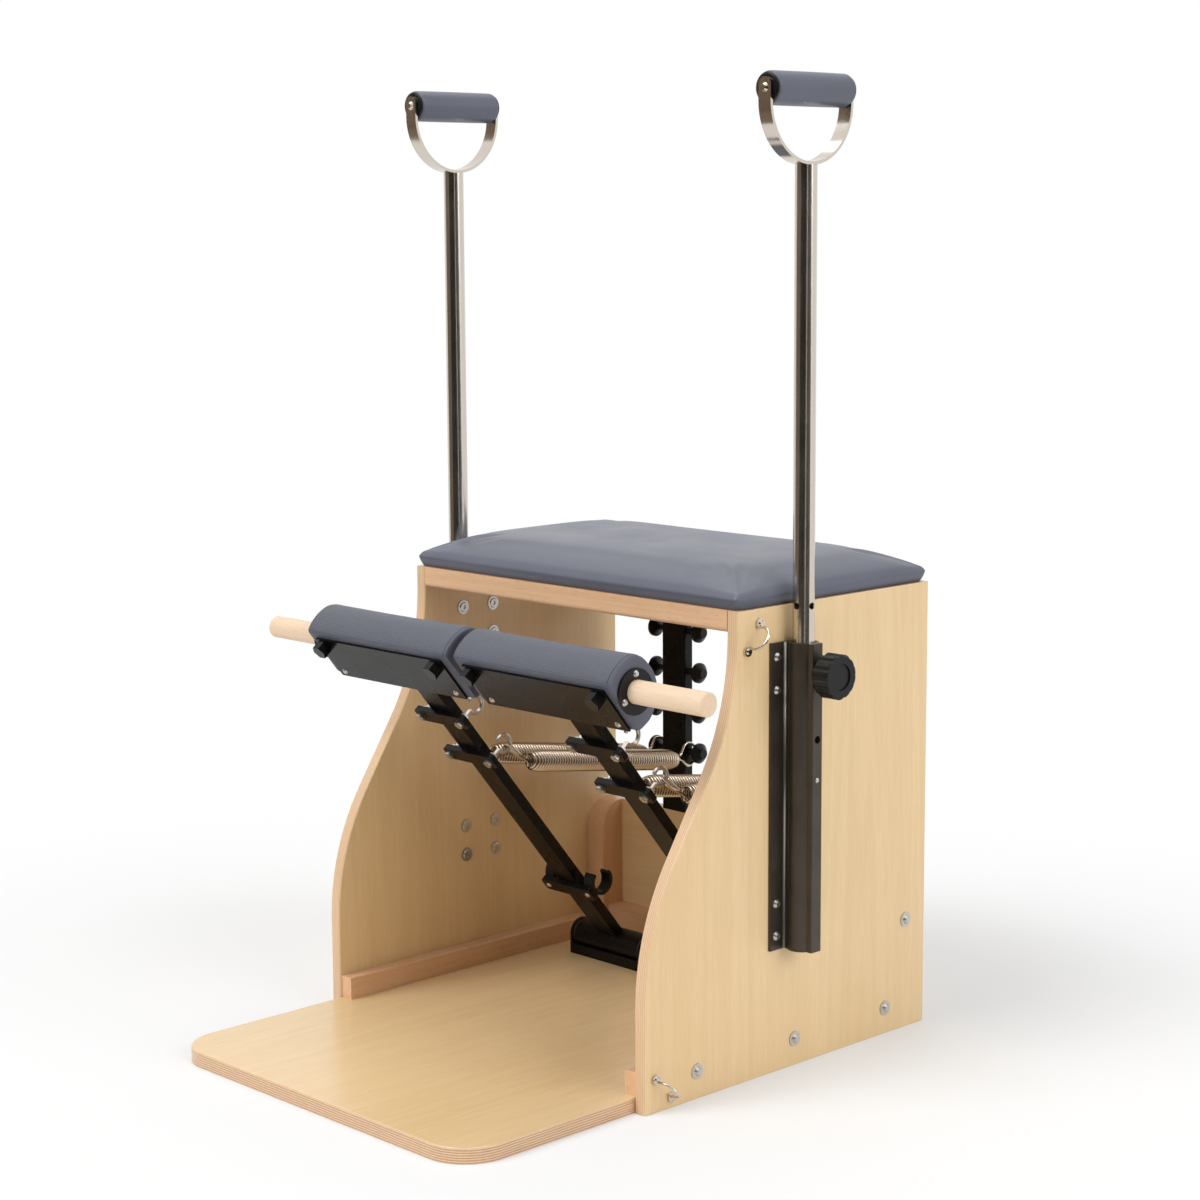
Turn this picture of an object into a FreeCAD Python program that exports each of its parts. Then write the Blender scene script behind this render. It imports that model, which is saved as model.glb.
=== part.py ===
"""Pilates chair: a plywood cabinet with a padded seat, two sprung pedals and two sliding handles.

Millimetres. Seen from the front, X runs to the right; the front faces -Y and Z is up.
The origin is on the floor, in the middle of the overall width and depth.
"""
import FreeCAD
import Part
import math
import os

V = FreeCAD.Vector

# Cabinet
inner_width = 582.0
panel_thickness = 18.0
panel_height = 610.0
panel_top_depth = 374.5
panel_bottom_depth = 540.0
curve_top_drop = 30.0
curve_bottom_height = 130.0
curve_fullness_share = 0.9486
base_thickness = 20.0
base_overhang = 281.0
base_corner_radius = 60.0
cleat_width = 20.0
cleat_height = 31.0
cleat_setback = 3.0
rear_board_thickness = 20.0
rear_board_height = 203.0
batten_width = 33.0
batten_depth = 40.0
rear_cleat_depth = 30.0
rear_cleat_height = 44.0
rail_height = 28.0
rear_rail_height = 50.0
rail_depth = 20.0
rail_round = 6.5
wood_round = 3.0
panel_edge_round = 2.5
base_edge_round = 2.0

# Seat
seat_board_thickness = 12.0
seat_board_inset = 14.0
cushion_side_height = 21.0
cushion_crown = 26.0
cushion_draw_in = 4.0
cushion_corner_radius = 16.0
crown_inset_shares = (0.0, 0.03, 0.1, 0.24, 0.46, 0.8)
crown_rise_shares = (0.0, 0.28, 0.56, 0.79, 0.93, 1.0)
crown_reach = 150.0

# Spring columns and pegs
column_width = 46.0
column_depth = 20.0
column_wall = 2.5
column_round = 4.0
peg_rows = 4
peg_pitch_share = 0.178
peg_first_share = 0.27
peg_neck_radius = 5.0
peg_neck_length = 15.0
peg_cap_radius = 15.0
peg_cap_length = 16.0
peg_rim = 4.0
peg_crown_radius = 7.0

# Pole brackets
bracket_length = 400.0
bracket_top_drop = 46.5
bracket_flange_width = 80.0
bracket_flange_thickness = 4.0
bracket_neck_width = 29.0
bracket_tube_wall = 2.0
bracket_height = 46.5
bracket_rib_width = 19.0
bracket_round = 1.5
bracket_bolt_spread = 57.0
bracket_bolt_insets = (18.5, 61.0)
stop_screw_drop = 175.5
stop_screw_length = 6.0
stop_screw_head_radius = 3.2
stop_screw_head = 1.2
pole_from_rear = 275.8
pole_stand_off = 22.0
bush_wall = 3.0
bush_length = 24.0
lower_bush_drop = 113.0

# Poles and handles
pole_radius = 14.0
pole_wall = 1.5
pole_rise = 594.0
pole_engagement = 298.5
index_pitch = 85.0
index_radius = 4.5
index_holes_up = 1
index_holes_down = 2
plug_flange = 4.0
plug_length = 24.0
strap_span = 153.0
strap_width = 20.0
strap_thickness = 4.0
strap_straight = 15.0
strap_end_rise = 3.0
grip_radius = 20.8
grip_edge = 3.0
grip_screw_radius = 3.0
grip_screw_length = 20.0
grip_screw_head_radius = 6.0
grip_screw_head = 3.5

# Lock knobs
knob_drop = 38.0
knob_radius = 29.0
knob_length = 24.0
knob_neck_radius = 13.0
knob_neck_length = 15.0
knob_flutes = 14
knob_flute_radius = 5.0
knob_flute_depth = 2.6
knob_recess_radius = 17.0
knob_recess_depth = 2.0
stud_radius = 5.0

# Pivots
pedal_spacing = 300.0
pivot_from_rear = 140.5
pivot_height = 28.0
pivot_length = 146.0
ear_thickness = 6.0
ear_radius = 22.0
pivot_plate_depth = 44.0
pivot_plate_thickness = 4.0
pivot_lip_height = 15.0
pivot_lip_thickness = 3.5
axle_radius = 10.0
axle_head_radius = 14.0
axle_head = 3.0

# Pedal arms
arm_angle = 50.4
arm_width = 40.0
arm_thickness = 15.0
arm_front = 5.0
arm_end_gap = 4.0
sleeve_radius = 21.0
sleeve_bush_wall = 3.5
sleeve_bush_collar = 2.0
sleeve_bush_length = 20.0
dowel_reach = 625.5
upper_yoke_drop = 126.5
yoke_pitch = 79.5
clip_bar_reach = 133.0
yoke_height = 22.0
yoke_thickness = 8.0
yoke_round = 5.0
yoke_end = 10.5
eye_spread = 78.8
clip_spread = 80.0

# Eye bolts and dowel clips
eye_shank_radius = 3.0
eye_ring_radius = 12.0
eye_wire_radius = 2.8
eye_ring_stand_off = 27.0
eye_ring_sweep = 295.0
eye_tail = 6.0
nut_radius = 6.5
nut_height = 5.0
clip_width = 18.0
clip_wall = 4.7
clip_slack = 0.3
clip_mouth_angle = 100.0
clip_foot_height = 18.0

# Pedal pads
pad_length = 286.0
pad_front = 26.0
pad_front_top = 40.0
pad_front_bottom = 45.0
pad_upper_belly = (48.0, -2.0)
pad_upper_shoulder = (34.0, 24.0)
pad_crest = (3.0, 37.0)
pad_lower_shoulder = (-30.0, 31.0)
pad_lower_turn = (-46.0, 16.0)
pad_lower_belly = (-51.0, -5.0)
pad_end_draw_in = 2.5
pad_end_round = 8.0
pad_foam = 8.0
pad_skin = 3.0
pad_end_skin = 4.0
plate_width = 258.0
plate_length = 72.0
plate_top_level = 28.0
plate_thickness = 3.0
bumper_spread = 230.0
bumper_radius = 11.0
bumper_height = 15.0
bumper_inset = 10.0
flange_radius = 29.0
flange_thickness = 3.0
flange_screws = 3
flange_screw_circle = 22.0

# Dowel
dowel_radius = 15.0
dowel_length = 834.0
dowel_chamfer = 1.5

# Springs
spring_wire_radius = 1.5
spring_coil_radius = 13.8
spring_turns = 24
spring_taper_turns = 2
spring_mouth_share = 0.55
coil_step_shares = (-0.01, 0.0, 0.01)
spring_lead = 13.0
spring_loop_length = 34.0
front_loop_radius = 9.0
rear_loop_radius = 17.0
front_sag_angle = 25.0
rear_sag_angle = 18.0

# Fasteners and strap hooks
bolt_radius = 3.0
bolt_head_radius = 6.0
bolt_head = 3.5
bolt_head_top_share = 0.6
flange_nut_radius = 7.0
flange_nut_top_share = 0.85
flange_nut_height = 3.0
bolt_end_recess = 1.4
washer_radius = 10.0
washer_thickness = 1.6
screw_radius = 2.0
screw_head_radius = 4.5
screw_head = 2.0
screw_length = 12.0
cabinet_bolt_length = 34.0
cleat_bolt_pitch = 183.0
cleat_bolt_rear = 81.5
batten_bolt_rise = 130.5
hook_wire_radius = 1.8
hook_eye_radius = 6.5
hook_span = 40.0
hook_reach = 25.0
upper_hook_from_front = 28.0
upper_hook_drop = 35.0
lower_hook_from_front = 31.7
lower_hook_height = 28.5
hook_tilt_angles = (56.0, -46.5)

# Clearances
running_clearance = 0.05
sliding_clearance = 0.1
free_gap = 0.3
cut_over = 1.0
fine_step = 1.0

# Places worked out from the sizes above
half_inner = inner_width / 2
half_outer = half_inner + panel_thickness
peg_overhang = peg_cap_radius - column_depth / 2
rear_y = (base_overhang + panel_bottom_depth - peg_overhang) / 2
panel_front_y = rear_y - panel_bottom_depth
seat_front_y = rear_y - panel_top_depth
base_front_y = panel_front_y - base_overhang
rear_board_y = rear_y - rear_board_thickness
rear_board_top = base_thickness + rear_board_height
batten_front_y = rear_board_y - batten_depth
rear_rail_bottom = panel_height - rear_rail_height
pedal_x = pedal_spacing / 2
column_y = rear_y - column_depth / 2
column_height = rear_rail_bottom - rear_board_top
peg_pitch = column_height * peg_pitch_share
peg_bottom_z = rear_board_top + column_height * peg_first_share
bracket_top = panel_height - bracket_top_drop
bracket_bottom = bracket_top - bracket_length
bracket_out = half_outer + bracket_height
pole_x = half_outer + pole_stand_off
pole_y = rear_y - pole_from_rear
pole_top = bracket_top + pole_rise
pole_bottom = bracket_top - pole_engagement
bush_radius = pole_radius + bush_wall
knob_z = bracket_top - knob_drop
knob_back_x = bracket_out + knob_neck_length
strap_radius = strap_span / 2
grip_z = pole_top + strap_radius + strap_straight
grip_length = strap_span - 2 * strap_thickness
pivot_y = rear_y - pivot_from_rear
pivot_z = base_thickness + pivot_height
pivot_half = pivot_length / 2
pivot_inside = pivot_half - ear_thickness
pivot_screw_inset = pivot_lip_thickness + screw_head_radius + free_gap
sleeve_half = pivot_inside - sleeve_bush_collar - free_gap
arm_lean = 90.0 - arm_angle
upper_yoke_reach = dowel_reach - upper_yoke_drop
lower_yoke_reach = upper_yoke_reach - yoke_pitch
arm_rear = arm_thickness - arm_front
yoke_front = arm_front + yoke_thickness
arm_top = dowel_reach - dowel_radius - arm_end_gap
plate_bottom = dowel_reach + plate_top_level - plate_length
plate_top = dowel_reach + plate_top_level
plate_front = pad_front + plate_thickness
eye_ring_y = eye_ring_stand_off - arm_front
hook_points_yz = (
    (seat_front_y + upper_hook_from_front, panel_height - upper_hook_drop),
    (panel_front_y + lower_hook_from_front, lower_hook_height),
)
cleat_bolt_ys = [rear_y - cleat_bolt_rear - cleat_bolt_pitch * step for step in range(3)]


def box(x_range, y_range, z_range):
    """A block between pairs of limits."""
    low = V(min(x_range), min(y_range), min(z_range))
    high = V(max(x_range), max(y_range), max(z_range))
    size = high - low
    return Part.makeBox(size.x, size.y, size.z, low)


def rod(start, end, radius):
    """A round bar from point to point."""
    return Part.makeCylinder(radius, (end - start).Length, start, end - start)


def bored_rod(start, end, radius, bore):
    """A round bar with a bore right through it."""
    over = (end - start).normalize() * cut_over
    return rod(start, end, radius).cut(rod(start - over, end + over, bore))


def frustum(start, end, start_radius, end_radius):
    """A cone cut off at both ends."""
    return Part.makeCone(start_radius, end_radius, (end - start).Length, start, end - start)


def hexagon(start, end, corner_radius):
    """A six-sided bar between points at the same x."""
    spoke = V(corner_radius, 0, 0)
    corners = [start + FreeCAD.Rotation(end - start, 60 * index).multVec(spoke) for index in range(6)]
    return Part.Face(Part.makePolygon(corners + corners[:1])).extrude(end - start)


def line(start, end):
    """A straight edge."""
    return Part.LineSegment(start, end).toShape()


def arc(start, middle, end):
    """A round edge through three points."""
    return Part.Arc(start, middle, end).toShape()


def slab(edges, reach):
    """The face inside a closed run of edges, drawn out along a vector."""
    return Part.Face(Part.Wire(edges)).extrude(reach)


def joined(shapes):
    """One solid made of pieces that are welded, glued or moulded together."""
    return shapes[0].multiFuse(shapes[1:]).removeSplitter()


def mirrored(shape):
    """The same piece on the other side of the chair."""
    return shape.mirror(V(0, 0, 0), V(1, 0, 0))


def both_sides(shape):
    """A piece of the right side and its twin."""
    return [mirrored(shape), shape]


def save(node, shapes):
    """Write one node's solids."""
    solids = shapes if isinstance(shapes, list) else [shapes]
    shape = solids[0] if len(solids) == 1 else Part.makeCompound(solids)
    shape.exportStep(os.path.join("parts", node + ".step"))


def head_bolt(seat, axis, length, radius=bolt_radius, head_radius=bolt_head_radius, head=bolt_head):
    """A bolt whose head stands on seat, with its shank going the other way."""
    head_end = seat + axis * head
    shank = rod(seat - axis * length, seat, radius)
    return joined([shank, frustum(seat, head_end, head_radius, head_radius * bolt_head_top_share)])


def washer_bolt(seat, axis, length):
    """A bolt with a washer moulded under its head."""
    washer_top = seat + axis * washer_thickness
    head = frustum(washer_top, washer_top + axis * bolt_head, bolt_head_radius,
                   bolt_head_radius * bolt_head_top_share)
    return joined([rod(seat - axis * length, seat, bolt_radius), rod(seat, washer_top, washer_radius), head])


def wood_screw(seat, axis):
    """A small screw whose head stands on seat."""
    return head_bolt(seat, axis, screw_length, screw_radius, screw_head_radius, screw_head)


def bracket_bolt_places():
    """Seats of the bracket's eight bolts on the right panel, as (y, z)."""
    heights = []
    for inset in bracket_bolt_insets:
        heights += [bracket_bottom + inset, bracket_top - inset]
    half = bracket_bolt_spread / 2
    return [(pole_y + side * half, height) for side in (-1, 1) for height in heights]


def cabinet_bolt_places():
    """Seats of the right panel's bolts into the cleat and the corner batten, as (y, z)."""
    low = base_thickness + cleat_height / 2
    places = [(y, low) for y in cleat_bolt_ys]
    return places + [((batten_front_y + rear_board_y) / 2, base_thickness + batten_bolt_rise)]


def panel_front_edges(x):
    """The S-curved front edge of a side panel, from its top to its foot."""
    high = panel_height - curve_top_drop
    drop = high - curve_bottom_height
    setback = seat_front_y - panel_front_y
    radius = curve_fullness_share * (drop * drop + setback * setback) / (4 * setback)
    spread = 2 * radius - setback
    slope = math.asin(2 * radius / math.hypot(drop, spread)) - math.atan2(spread, drop)

    def upper(angle):
        return V(x, seat_front_y - radius * (1 - math.cos(angle)), high - radius * math.sin(angle))

    def lower(angle):
        return V(x, panel_front_y + radius * (1 - math.cos(angle)),
                 curve_bottom_height + radius * math.sin(angle))

    return [
        line(V(x, seat_front_y, panel_height), upper(0)),
        arc(upper(0), upper(slope / 2), upper(slope)),
        line(upper(slope), lower(slope)),
        arc(lower(slope), lower(slope / 2), lower(0)),
        line(lower(0), V(x, panel_front_y, 0)),
    ]


def side_panel():
    """The right side panel with its bolt holes, its front edges eased."""
    rear_foot = V(half_inner, rear_y, 0)
    rear_top = V(half_inner, rear_y, panel_height)
    edges = panel_front_edges(half_inner)
    edges += [
        line(V(half_inner, panel_front_y, 0), rear_foot),
        line(rear_foot, rear_top),
        line(rear_top, V(half_inner, seat_front_y, panel_height)),
    ]
    panel = slab(edges, V(panel_thickness, 0, 0))
    rims = [
        edge for edge in panel.Edges
        if edge.BoundBox.YMax < seat_front_y + cut_over and edge.BoundBox.XLength < panel_thickness / 2
    ]
    panel = panel.makeFillet(panel_edge_round, rims)
    holes = [
        rod(V(half_inner - cut_over, y, z), V(half_outer + cut_over, y, z), bolt_radius)
        for y, z in bracket_bolt_places() + cabinet_bolt_places()
    ]
    holes += [
        rod(V(half_outer - screw_length, y, z), V(half_outer, y, z), screw_radius)
        for y, z in hook_screw_places()
    ]
    return panel.cut(holes)


def base_board():
    """The foot board: rounded front corners, an eased upper edge and holes for the pivots' screws."""
    board = box((-half_inner, half_inner), (base_front_y, rear_y), (0, base_thickness))
    corners = [
        edge for edge in board.Edges
        if edge.BoundBox.ZLength > base_thickness / 2 and edge.BoundBox.YMax < panel_front_y
    ]
    board = board.makeFillet(base_corner_radius, corners)
    rims = [
        edge for edge in board.Edges
        if edge.BoundBox.ZMin > base_thickness / 2 and edge.BoundBox.YMin < batten_front_y
    ]
    board = board.makeFillet(base_edge_round, rims)
    top = base_thickness + pivot_plate_thickness
    return board.cut([
        rod(V(x, y, top - screw_length), V(x, y, top), screw_radius) for x, y in pivot_screw_places()
    ])


def base_cleat():
    """The right cleat in the corner of panel and base board."""
    inside = half_inner - cleat_width
    cleat = box((inside, half_inner), (panel_front_y + cleat_setback, batten_front_y),
                (base_thickness, base_thickness + cleat_height))
    ridge = [
        edge for edge in cleat.Edges
        if edge.BoundBox.YLength > cleat_height and edge.BoundBox.XMax < half_inner - cleat_width / 2
        and edge.BoundBox.ZMin > base_thickness + cleat_height / 2
    ]
    cleat = cleat.makeFillet(wood_round, ridge)
    return cleat.cut(cabinet_bolt_holes())


def cabinet_bolt_holes():
    """Room for the cabinet bolts' shanks, as far as they reach."""
    reach = half_outer - cabinet_bolt_length
    return [rod(V(reach, y, z), V(half_outer, y, z), bolt_radius) for y, z in cabinet_bolt_places()]


def rear_board():
    """The low board across the back."""
    return box((-half_inner, half_inner), (rear_board_y, rear_y), (base_thickness, rear_board_top))


def rear_batten():
    """The right corner batten; its front curves back to the rear board at the top."""
    x = half_inner - batten_width
    spring = rear_board_top - batten_depth
    bend = batten_depth * (1 - math.sqrt(0.5))
    foot = V(x, batten_front_y, base_thickness)
    start = V(x, batten_front_y, spring)
    top = V(x, rear_board_y, rear_board_top)
    rear_foot = V(x, rear_board_y, base_thickness)
    edges = [
        line(foot, start),
        arc(start, V(x, batten_front_y + bend, rear_board_top - bend), top),
        line(top, rear_foot),
        line(rear_foot, foot),
    ]
    return slab(edges, V(batten_width, 0, 0)).cut(cabinet_bolt_holes())


def rear_base_cleat():
    """The cleat between the battens, along the foot of the rear board."""
    half = half_inner - batten_width
    return box((-half, half), (rear_board_y - rear_cleat_depth, rear_board_y),
               (base_thickness, base_thickness + rear_cleat_height))


def top_rail(front_y, height, outside_y):
    """A rail under the seat, its lower outside edge rounded over."""
    rail = box((-half_inner, half_inner), (front_y, front_y + rail_depth),
               (panel_height - height, panel_height))
    edges = [
        edge for edge in rail.Edges
        if edge.BoundBox.XLength > half_inner and edge.BoundBox.ZMax < panel_height - height / 2
        and abs(edge.BoundBox.YMax - outside_y) < rail_depth / 2
    ]
    return rail.makeFillet(rail_round, edges)


def seat_section(inset, height):
    """The seat's outline, drawn in by inset, at a height."""
    x = half_outer - inset
    front = seat_front_y + inset
    rear = rear_y - inset
    radius = cushion_corner_radius
    bend = radius * (1 - math.sqrt(0.5))
    edges = []
    turns = ((x, front, -1, 1), (x, rear, -1, -1), (-x, rear, 1, -1), (-x, front, 1, 1))
    ends = []
    for corner_x, corner_y, inward_x, inward_y in turns:
        on_x = V(corner_x + inward_x * radius, corner_y, height)
        on_y = V(corner_x, corner_y + inward_y * radius, height)
        middle = V(corner_x + inward_x * bend, corner_y + inward_y * bend, height)
        first, last = (on_x, on_y) if inward_x * inward_y < 0 else (on_y, on_x)
        ends.append((first, middle, last))
    for index, (first, middle, last) in enumerate(ends):
        edges.append(arc(first, middle, last))
        edges.append(line(last, ends[(index + 1) % len(ends)][0]))
    return Part.Wire(edges)


def seat_cushion():
    """The upholstered seat: sides drawn in at the foot, a crown on top and a pocket for its board."""
    crease = panel_height + cushion_side_height
    side = Part.makeLoft([seat_section(cushion_draw_in, panel_height), seat_section(0, crease)], True, True)
    crown = Part.makeLoft([
        seat_section(crown_reach * inset, crease + cushion_crown * rise)
        for inset, rise in zip(crown_inset_shares, crown_rise_shares)
    ], True, True)
    return joined([side, crown]).cut(seat_board())


def seat_board():
    """The board that the cushion is stretched over."""
    return box((-half_outer + seat_board_inset, half_outer - seat_board_inset),
               (seat_front_y + seat_board_inset, rear_y - seat_board_inset),
               (panel_height, panel_height + seat_board_thickness))


def spring_column():
    """The right spring column: a closed box section between the rear board and the rear rail."""
    half = column_width / 2
    outer = box((pedal_x - half, pedal_x + half), (rear_y - column_depth, rear_y),
                (rear_board_top, rear_rail_bottom))
    upright = [edge for edge in outer.Edges if edge.BoundBox.ZLength > column_width]
    outer = outer.makeFillet(column_round, upright)
    inner = box((pedal_x - half + column_wall, pedal_x + half - column_wall),
                (rear_y - column_depth + column_wall, rear_y - column_wall),
                (rear_board_top + column_wall, rear_rail_bottom - column_wall))
    return outer.cut(inner)


def spring_peg(side, row):
    """One mushroom peg on the right column: a neck and a domed cap."""
    root = pedal_x + side * column_width / 2
    height = peg_bottom_z + row * peg_pitch
    lengths_and_radii = (
        (0, peg_neck_radius),
        (peg_neck_length, peg_neck_radius),
        (peg_neck_length + peg_rim, peg_cap_radius),
        (peg_neck_length + 2 * peg_rim, peg_cap_radius),
        (peg_neck_length + peg_cap_length, peg_crown_radius),
    )
    points = [V(root + side * length, column_y, height + radius) for length, radius in lengths_and_radii]
    axis_end = V(points[-1].x, column_y, height)
    axis_start = V(root, column_y, height)
    face = Part.Face(Part.makePolygon([axis_start] + points + [axis_end, axis_start]))
    return face.revolve(axis_start, V(1, 0, 0), 360)


def spring_pegs():
    """Two pegs per row on each column."""
    right = [spring_peg(side, row) for row in range(peg_rows) for side in (-1, 1)]
    return right + [mirrored(peg) for peg in right]


def bracket_profile():
    """The bracket's extruded shape: flanges, a neck, a tube round the pole and a flat outer rib."""
    flange = bracket_flange_width / 2
    neck = bracket_neck_width / 2
    rib = bracket_rib_width / 2
    height = (bracket_bottom, bracket_top)
    outside = box((pole_x, bracket_out), (pole_y - rib, pole_y + rib), height)
    ridges = [
        edge for edge in outside.Edges
        if edge.BoundBox.ZLength > bracket_length / 2 and edge.BoundBox.XMin > (pole_x + bracket_out) / 2
    ]
    return joined([
        box((half_outer, half_outer + bracket_flange_thickness), (pole_y - flange, pole_y + flange), height),
        box((half_outer, pole_x), (pole_y - neck, pole_y + neck), height),
        rod(V(pole_x, pole_y, bracket_bottom), V(pole_x, pole_y, bracket_top),
            bush_radius + bracket_tube_wall),
        outside.makeFillet(bracket_round, ridges),
    ])


def pole_bracket():
    """The right pole bracket with its bore, bolt holes and two threaded holes for the knob's stud."""
    cuts = [rod(V(pole_x, pole_y, bracket_bottom - cut_over), V(pole_x, pole_y, bracket_top + cut_over),
                bush_radius)]
    for z in (knob_z, knob_z - index_pitch):
        cuts.append(rod(V(pole_x, pole_y, z), V(bracket_out + cut_over, pole_y, z),
                        stud_radius + running_clearance))
    stop_z = bracket_top - stop_screw_drop
    cuts.append(rod(V(bracket_out - stop_screw_length, pole_y, stop_z), V(bracket_out, pole_y, stop_z),
                    screw_radius))
    for y, z in bracket_bolt_places():
        cuts.append(rod(V(half_outer - cut_over, y, z),
                        V(half_outer + bracket_flange_thickness + cut_over, y, z), bolt_radius))
    return bracket_profile().cut(cuts)


def pole_bushes():
    """Two nylon guide bushes in the right bracket's bore, above and below the knob."""
    bushes = []
    for low in (bracket_top - lower_bush_drop, bracket_top - bush_length):
        start = V(pole_x, pole_y, low)
        bushes.append(bored_rod(start, start + V(0, 0, bush_length), bush_radius,
                                pole_radius + running_clearance))
    return bushes


def bracket_bolts():
    """Bolts from the right bracket's flanges through the panel, and the stop screw in its rib."""
    seat_x = half_outer + bracket_flange_thickness
    length = bracket_flange_thickness + panel_thickness + flange_nut_height - bolt_end_recess
    stop = head_bolt(V(bracket_out, pole_y, bracket_top - stop_screw_drop), V(1, 0, 0), stop_screw_length,
                     screw_radius, stop_screw_head_radius, stop_screw_head)
    return [head_bolt(V(seat_x, y, z), V(1, 0, 0), length) for y, z in bracket_bolt_places()] + [stop]


def bracket_nuts():
    """Round flange nuts inside the right panel."""
    nuts = []
    for y, z in bracket_bolt_places():
        seat = V(half_inner, y, z)
        flange_end = seat - V(washer_thickness, 0, 0)
        end = seat - V(flange_nut_height, 0, 0)
        crown = frustum(flange_end, end, flange_nut_radius, flange_nut_radius * flange_nut_top_share)
        body = joined([rod(flange_end, seat, washer_radius), crown])
        nuts.append(body.cut(rod(end - V(cut_over, 0, 0), seat + V(cut_over, 0, 0), bolt_radius)))
    return nuts


def cabinet_bolts():
    """Bolts from the right panel into the cleat and the batten."""
    return [washer_bolt(V(half_outer, y, z), V(1, 0, 0), cabinet_bolt_length)
            for y, z in cabinet_bolt_places()]


def hook_screw_places():
    """Screws of the right panel's wire hooks, as (y, z)."""
    half = hook_span / 2
    places = []
    for (y, z), angle in zip(hook_points_yz, hook_tilt_angles):
        step_y = half * math.cos(math.radians(angle))
        step_z = half * math.sin(math.radians(angle))
        places += [(y - step_y, z - step_z), (y + step_y, z + step_z)]
    return places


def strap_hooks():
    """Bowed wire hooks on the right panel, each on two screwed eyelets, with their screws."""
    places = hook_screw_places()
    pieces = []
    eye_depth = 2 * hook_wire_radius
    wire_x = half_outer + hook_wire_radius
    for first, last in (places[:2], places[2:]):
        ends = [V(wire_x, y, z) for y, z in (first, last)]
        inward = (ends[1] - ends[0]).normalize() * hook_eye_radius
        start = ends[0] + inward
        end = ends[1] - inward
        top = (start + end) / 2 + V(hook_reach - hook_wire_radius, 0, 0)
        bow = Part.Wire([arc(start, top, end)])
        tangent = bow.Edges[0].tangentAt(bow.Edges[0].FirstParameter)
        section = Part.Wire([Part.Circle(start, tangent, hook_wire_radius).toShape()])
        wire = bow.makePipeShell([section], True, False)
        eyes = [
            bored_rod(V(half_outer, y, z), V(half_outer + eye_depth, y, z), hook_eye_radius, screw_radius)
            for y, z in (first, last)
        ]
        pieces.append(joined(eyes + [wire]))
        for y, z in (first, last):
            pieces.append(head_bolt(V(half_outer + eye_depth, y, z), V(1, 0, 0), eye_depth + screw_length,
                                    screw_radius, screw_head_radius, screw_head))
    return pieces


def pivot_screw_places():
    """Screws of both pivot brackets, as (x, y)."""
    across = pivot_plate_depth / 2 - pivot_screw_inset
    along = pivot_inside / 2
    return [
        (side * pedal_x + left * along, pivot_y + front * across)
        for side in (-1, 1) for left in (-1, 1) for front in (-1, 1)
    ]


def pivot_bracket():
    """The right pivot bracket: a plate on the base board with a front lip and two round-topped ears."""
    plate_top = base_thickness + pivot_plate_thickness
    depth = pivot_plate_depth / 2
    front = pivot_y - depth
    across = (pedal_x - pivot_half, pedal_x + pivot_half)
    pieces = [
        box(across, (front, pivot_y + depth), (base_thickness, plate_top)),
        box(across, (front, front + pivot_lip_thickness),
            (base_thickness, base_thickness + pivot_lip_height)),
    ]
    for x in (pedal_x - pivot_half, pedal_x + pivot_inside):
        ear = box((x, x + ear_thickness), (pivot_y - ear_radius, pivot_y + ear_radius), (plate_top, pivot_z))
        round_top = rod(V(x, pivot_y, pivot_z), V(x + ear_thickness, pivot_y, pivot_z), ear_radius)
        pieces.append(joined([ear, round_top]).cut(
            box((x, x + ear_thickness), (pivot_y - ear_radius, pivot_y + ear_radius),
                (base_thickness - ear_radius, plate_top))))
    bracket = joined(pieces)
    holes = [rod(V(pedal_x - pivot_half - cut_over, pivot_y, pivot_z),
                 V(pedal_x + pivot_half + cut_over, pivot_y, pivot_z), axle_radius)]
    holes += [rod(V(x, y, base_thickness - cut_over), V(x, y, plate_top + cut_over), screw_radius)
              for x, y in pivot_screw_places() if x > 0]
    return bracket.cut(holes)


def pivot_axle():
    """The right axle, headed at both ends outside the ears."""
    left = V(pedal_x - pivot_half, pivot_y, pivot_z)
    right = V(pedal_x + pivot_half, pivot_y, pivot_z)
    head = V(axle_head, 0, 0)
    return joined([rod(left, right, axle_radius), rod(left - head, left, axle_head_radius),
                   rod(right, right + head, axle_head_radius)])


def pivot_screws():
    """Screws that hold both pivot brackets down."""
    top = base_thickness + pivot_plate_thickness
    return [wood_screw(V(x, y, top), V(0, 0, 1)) for x, y in pivot_screw_places()]


def on_pedal(shape, side):
    """Lean a pedal piece forward from its upright drawing and set it on its pivot.

    Pedal pieces are drawn upright: the pivot at the origin, Z along the arm and Y to its rear.
    """
    moved = shape.copy()
    moved.rotate(V(0, 0, 0), V(1, 0, 0), arm_lean)
    moved.translate(V(side * pedal_x, pivot_y, pivot_z))
    return moved


def pedal_point(point, side):
    """The place of a pedal's upright point on the finished chair."""
    leaned = FreeCAD.Rotation(V(1, 0, 0), arm_lean).multVec(point)
    return leaned + V(side * pedal_x, pivot_y, pivot_z)


def cross_bar(reach, half_width, hole_half, hole_radius):
    """A flat bar across the arm's front face, rounded at its ends, with a hole near each end."""
    low = reach - yoke_height / 2
    bar = box((-half_width, half_width), (-yoke_front, -arm_front), (low, low + yoke_height))
    ends = [edge for edge in bar.Edges if edge.BoundBox.YLength > yoke_thickness / 2]
    bar = bar.makeFillet(yoke_round, ends)
    return bar.cut([
        rod(V(x, -yoke_front - cut_over, reach), V(x, cut_over - arm_front, reach), hole_radius)
        for x in (-hole_half, hole_half)
    ])


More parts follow.
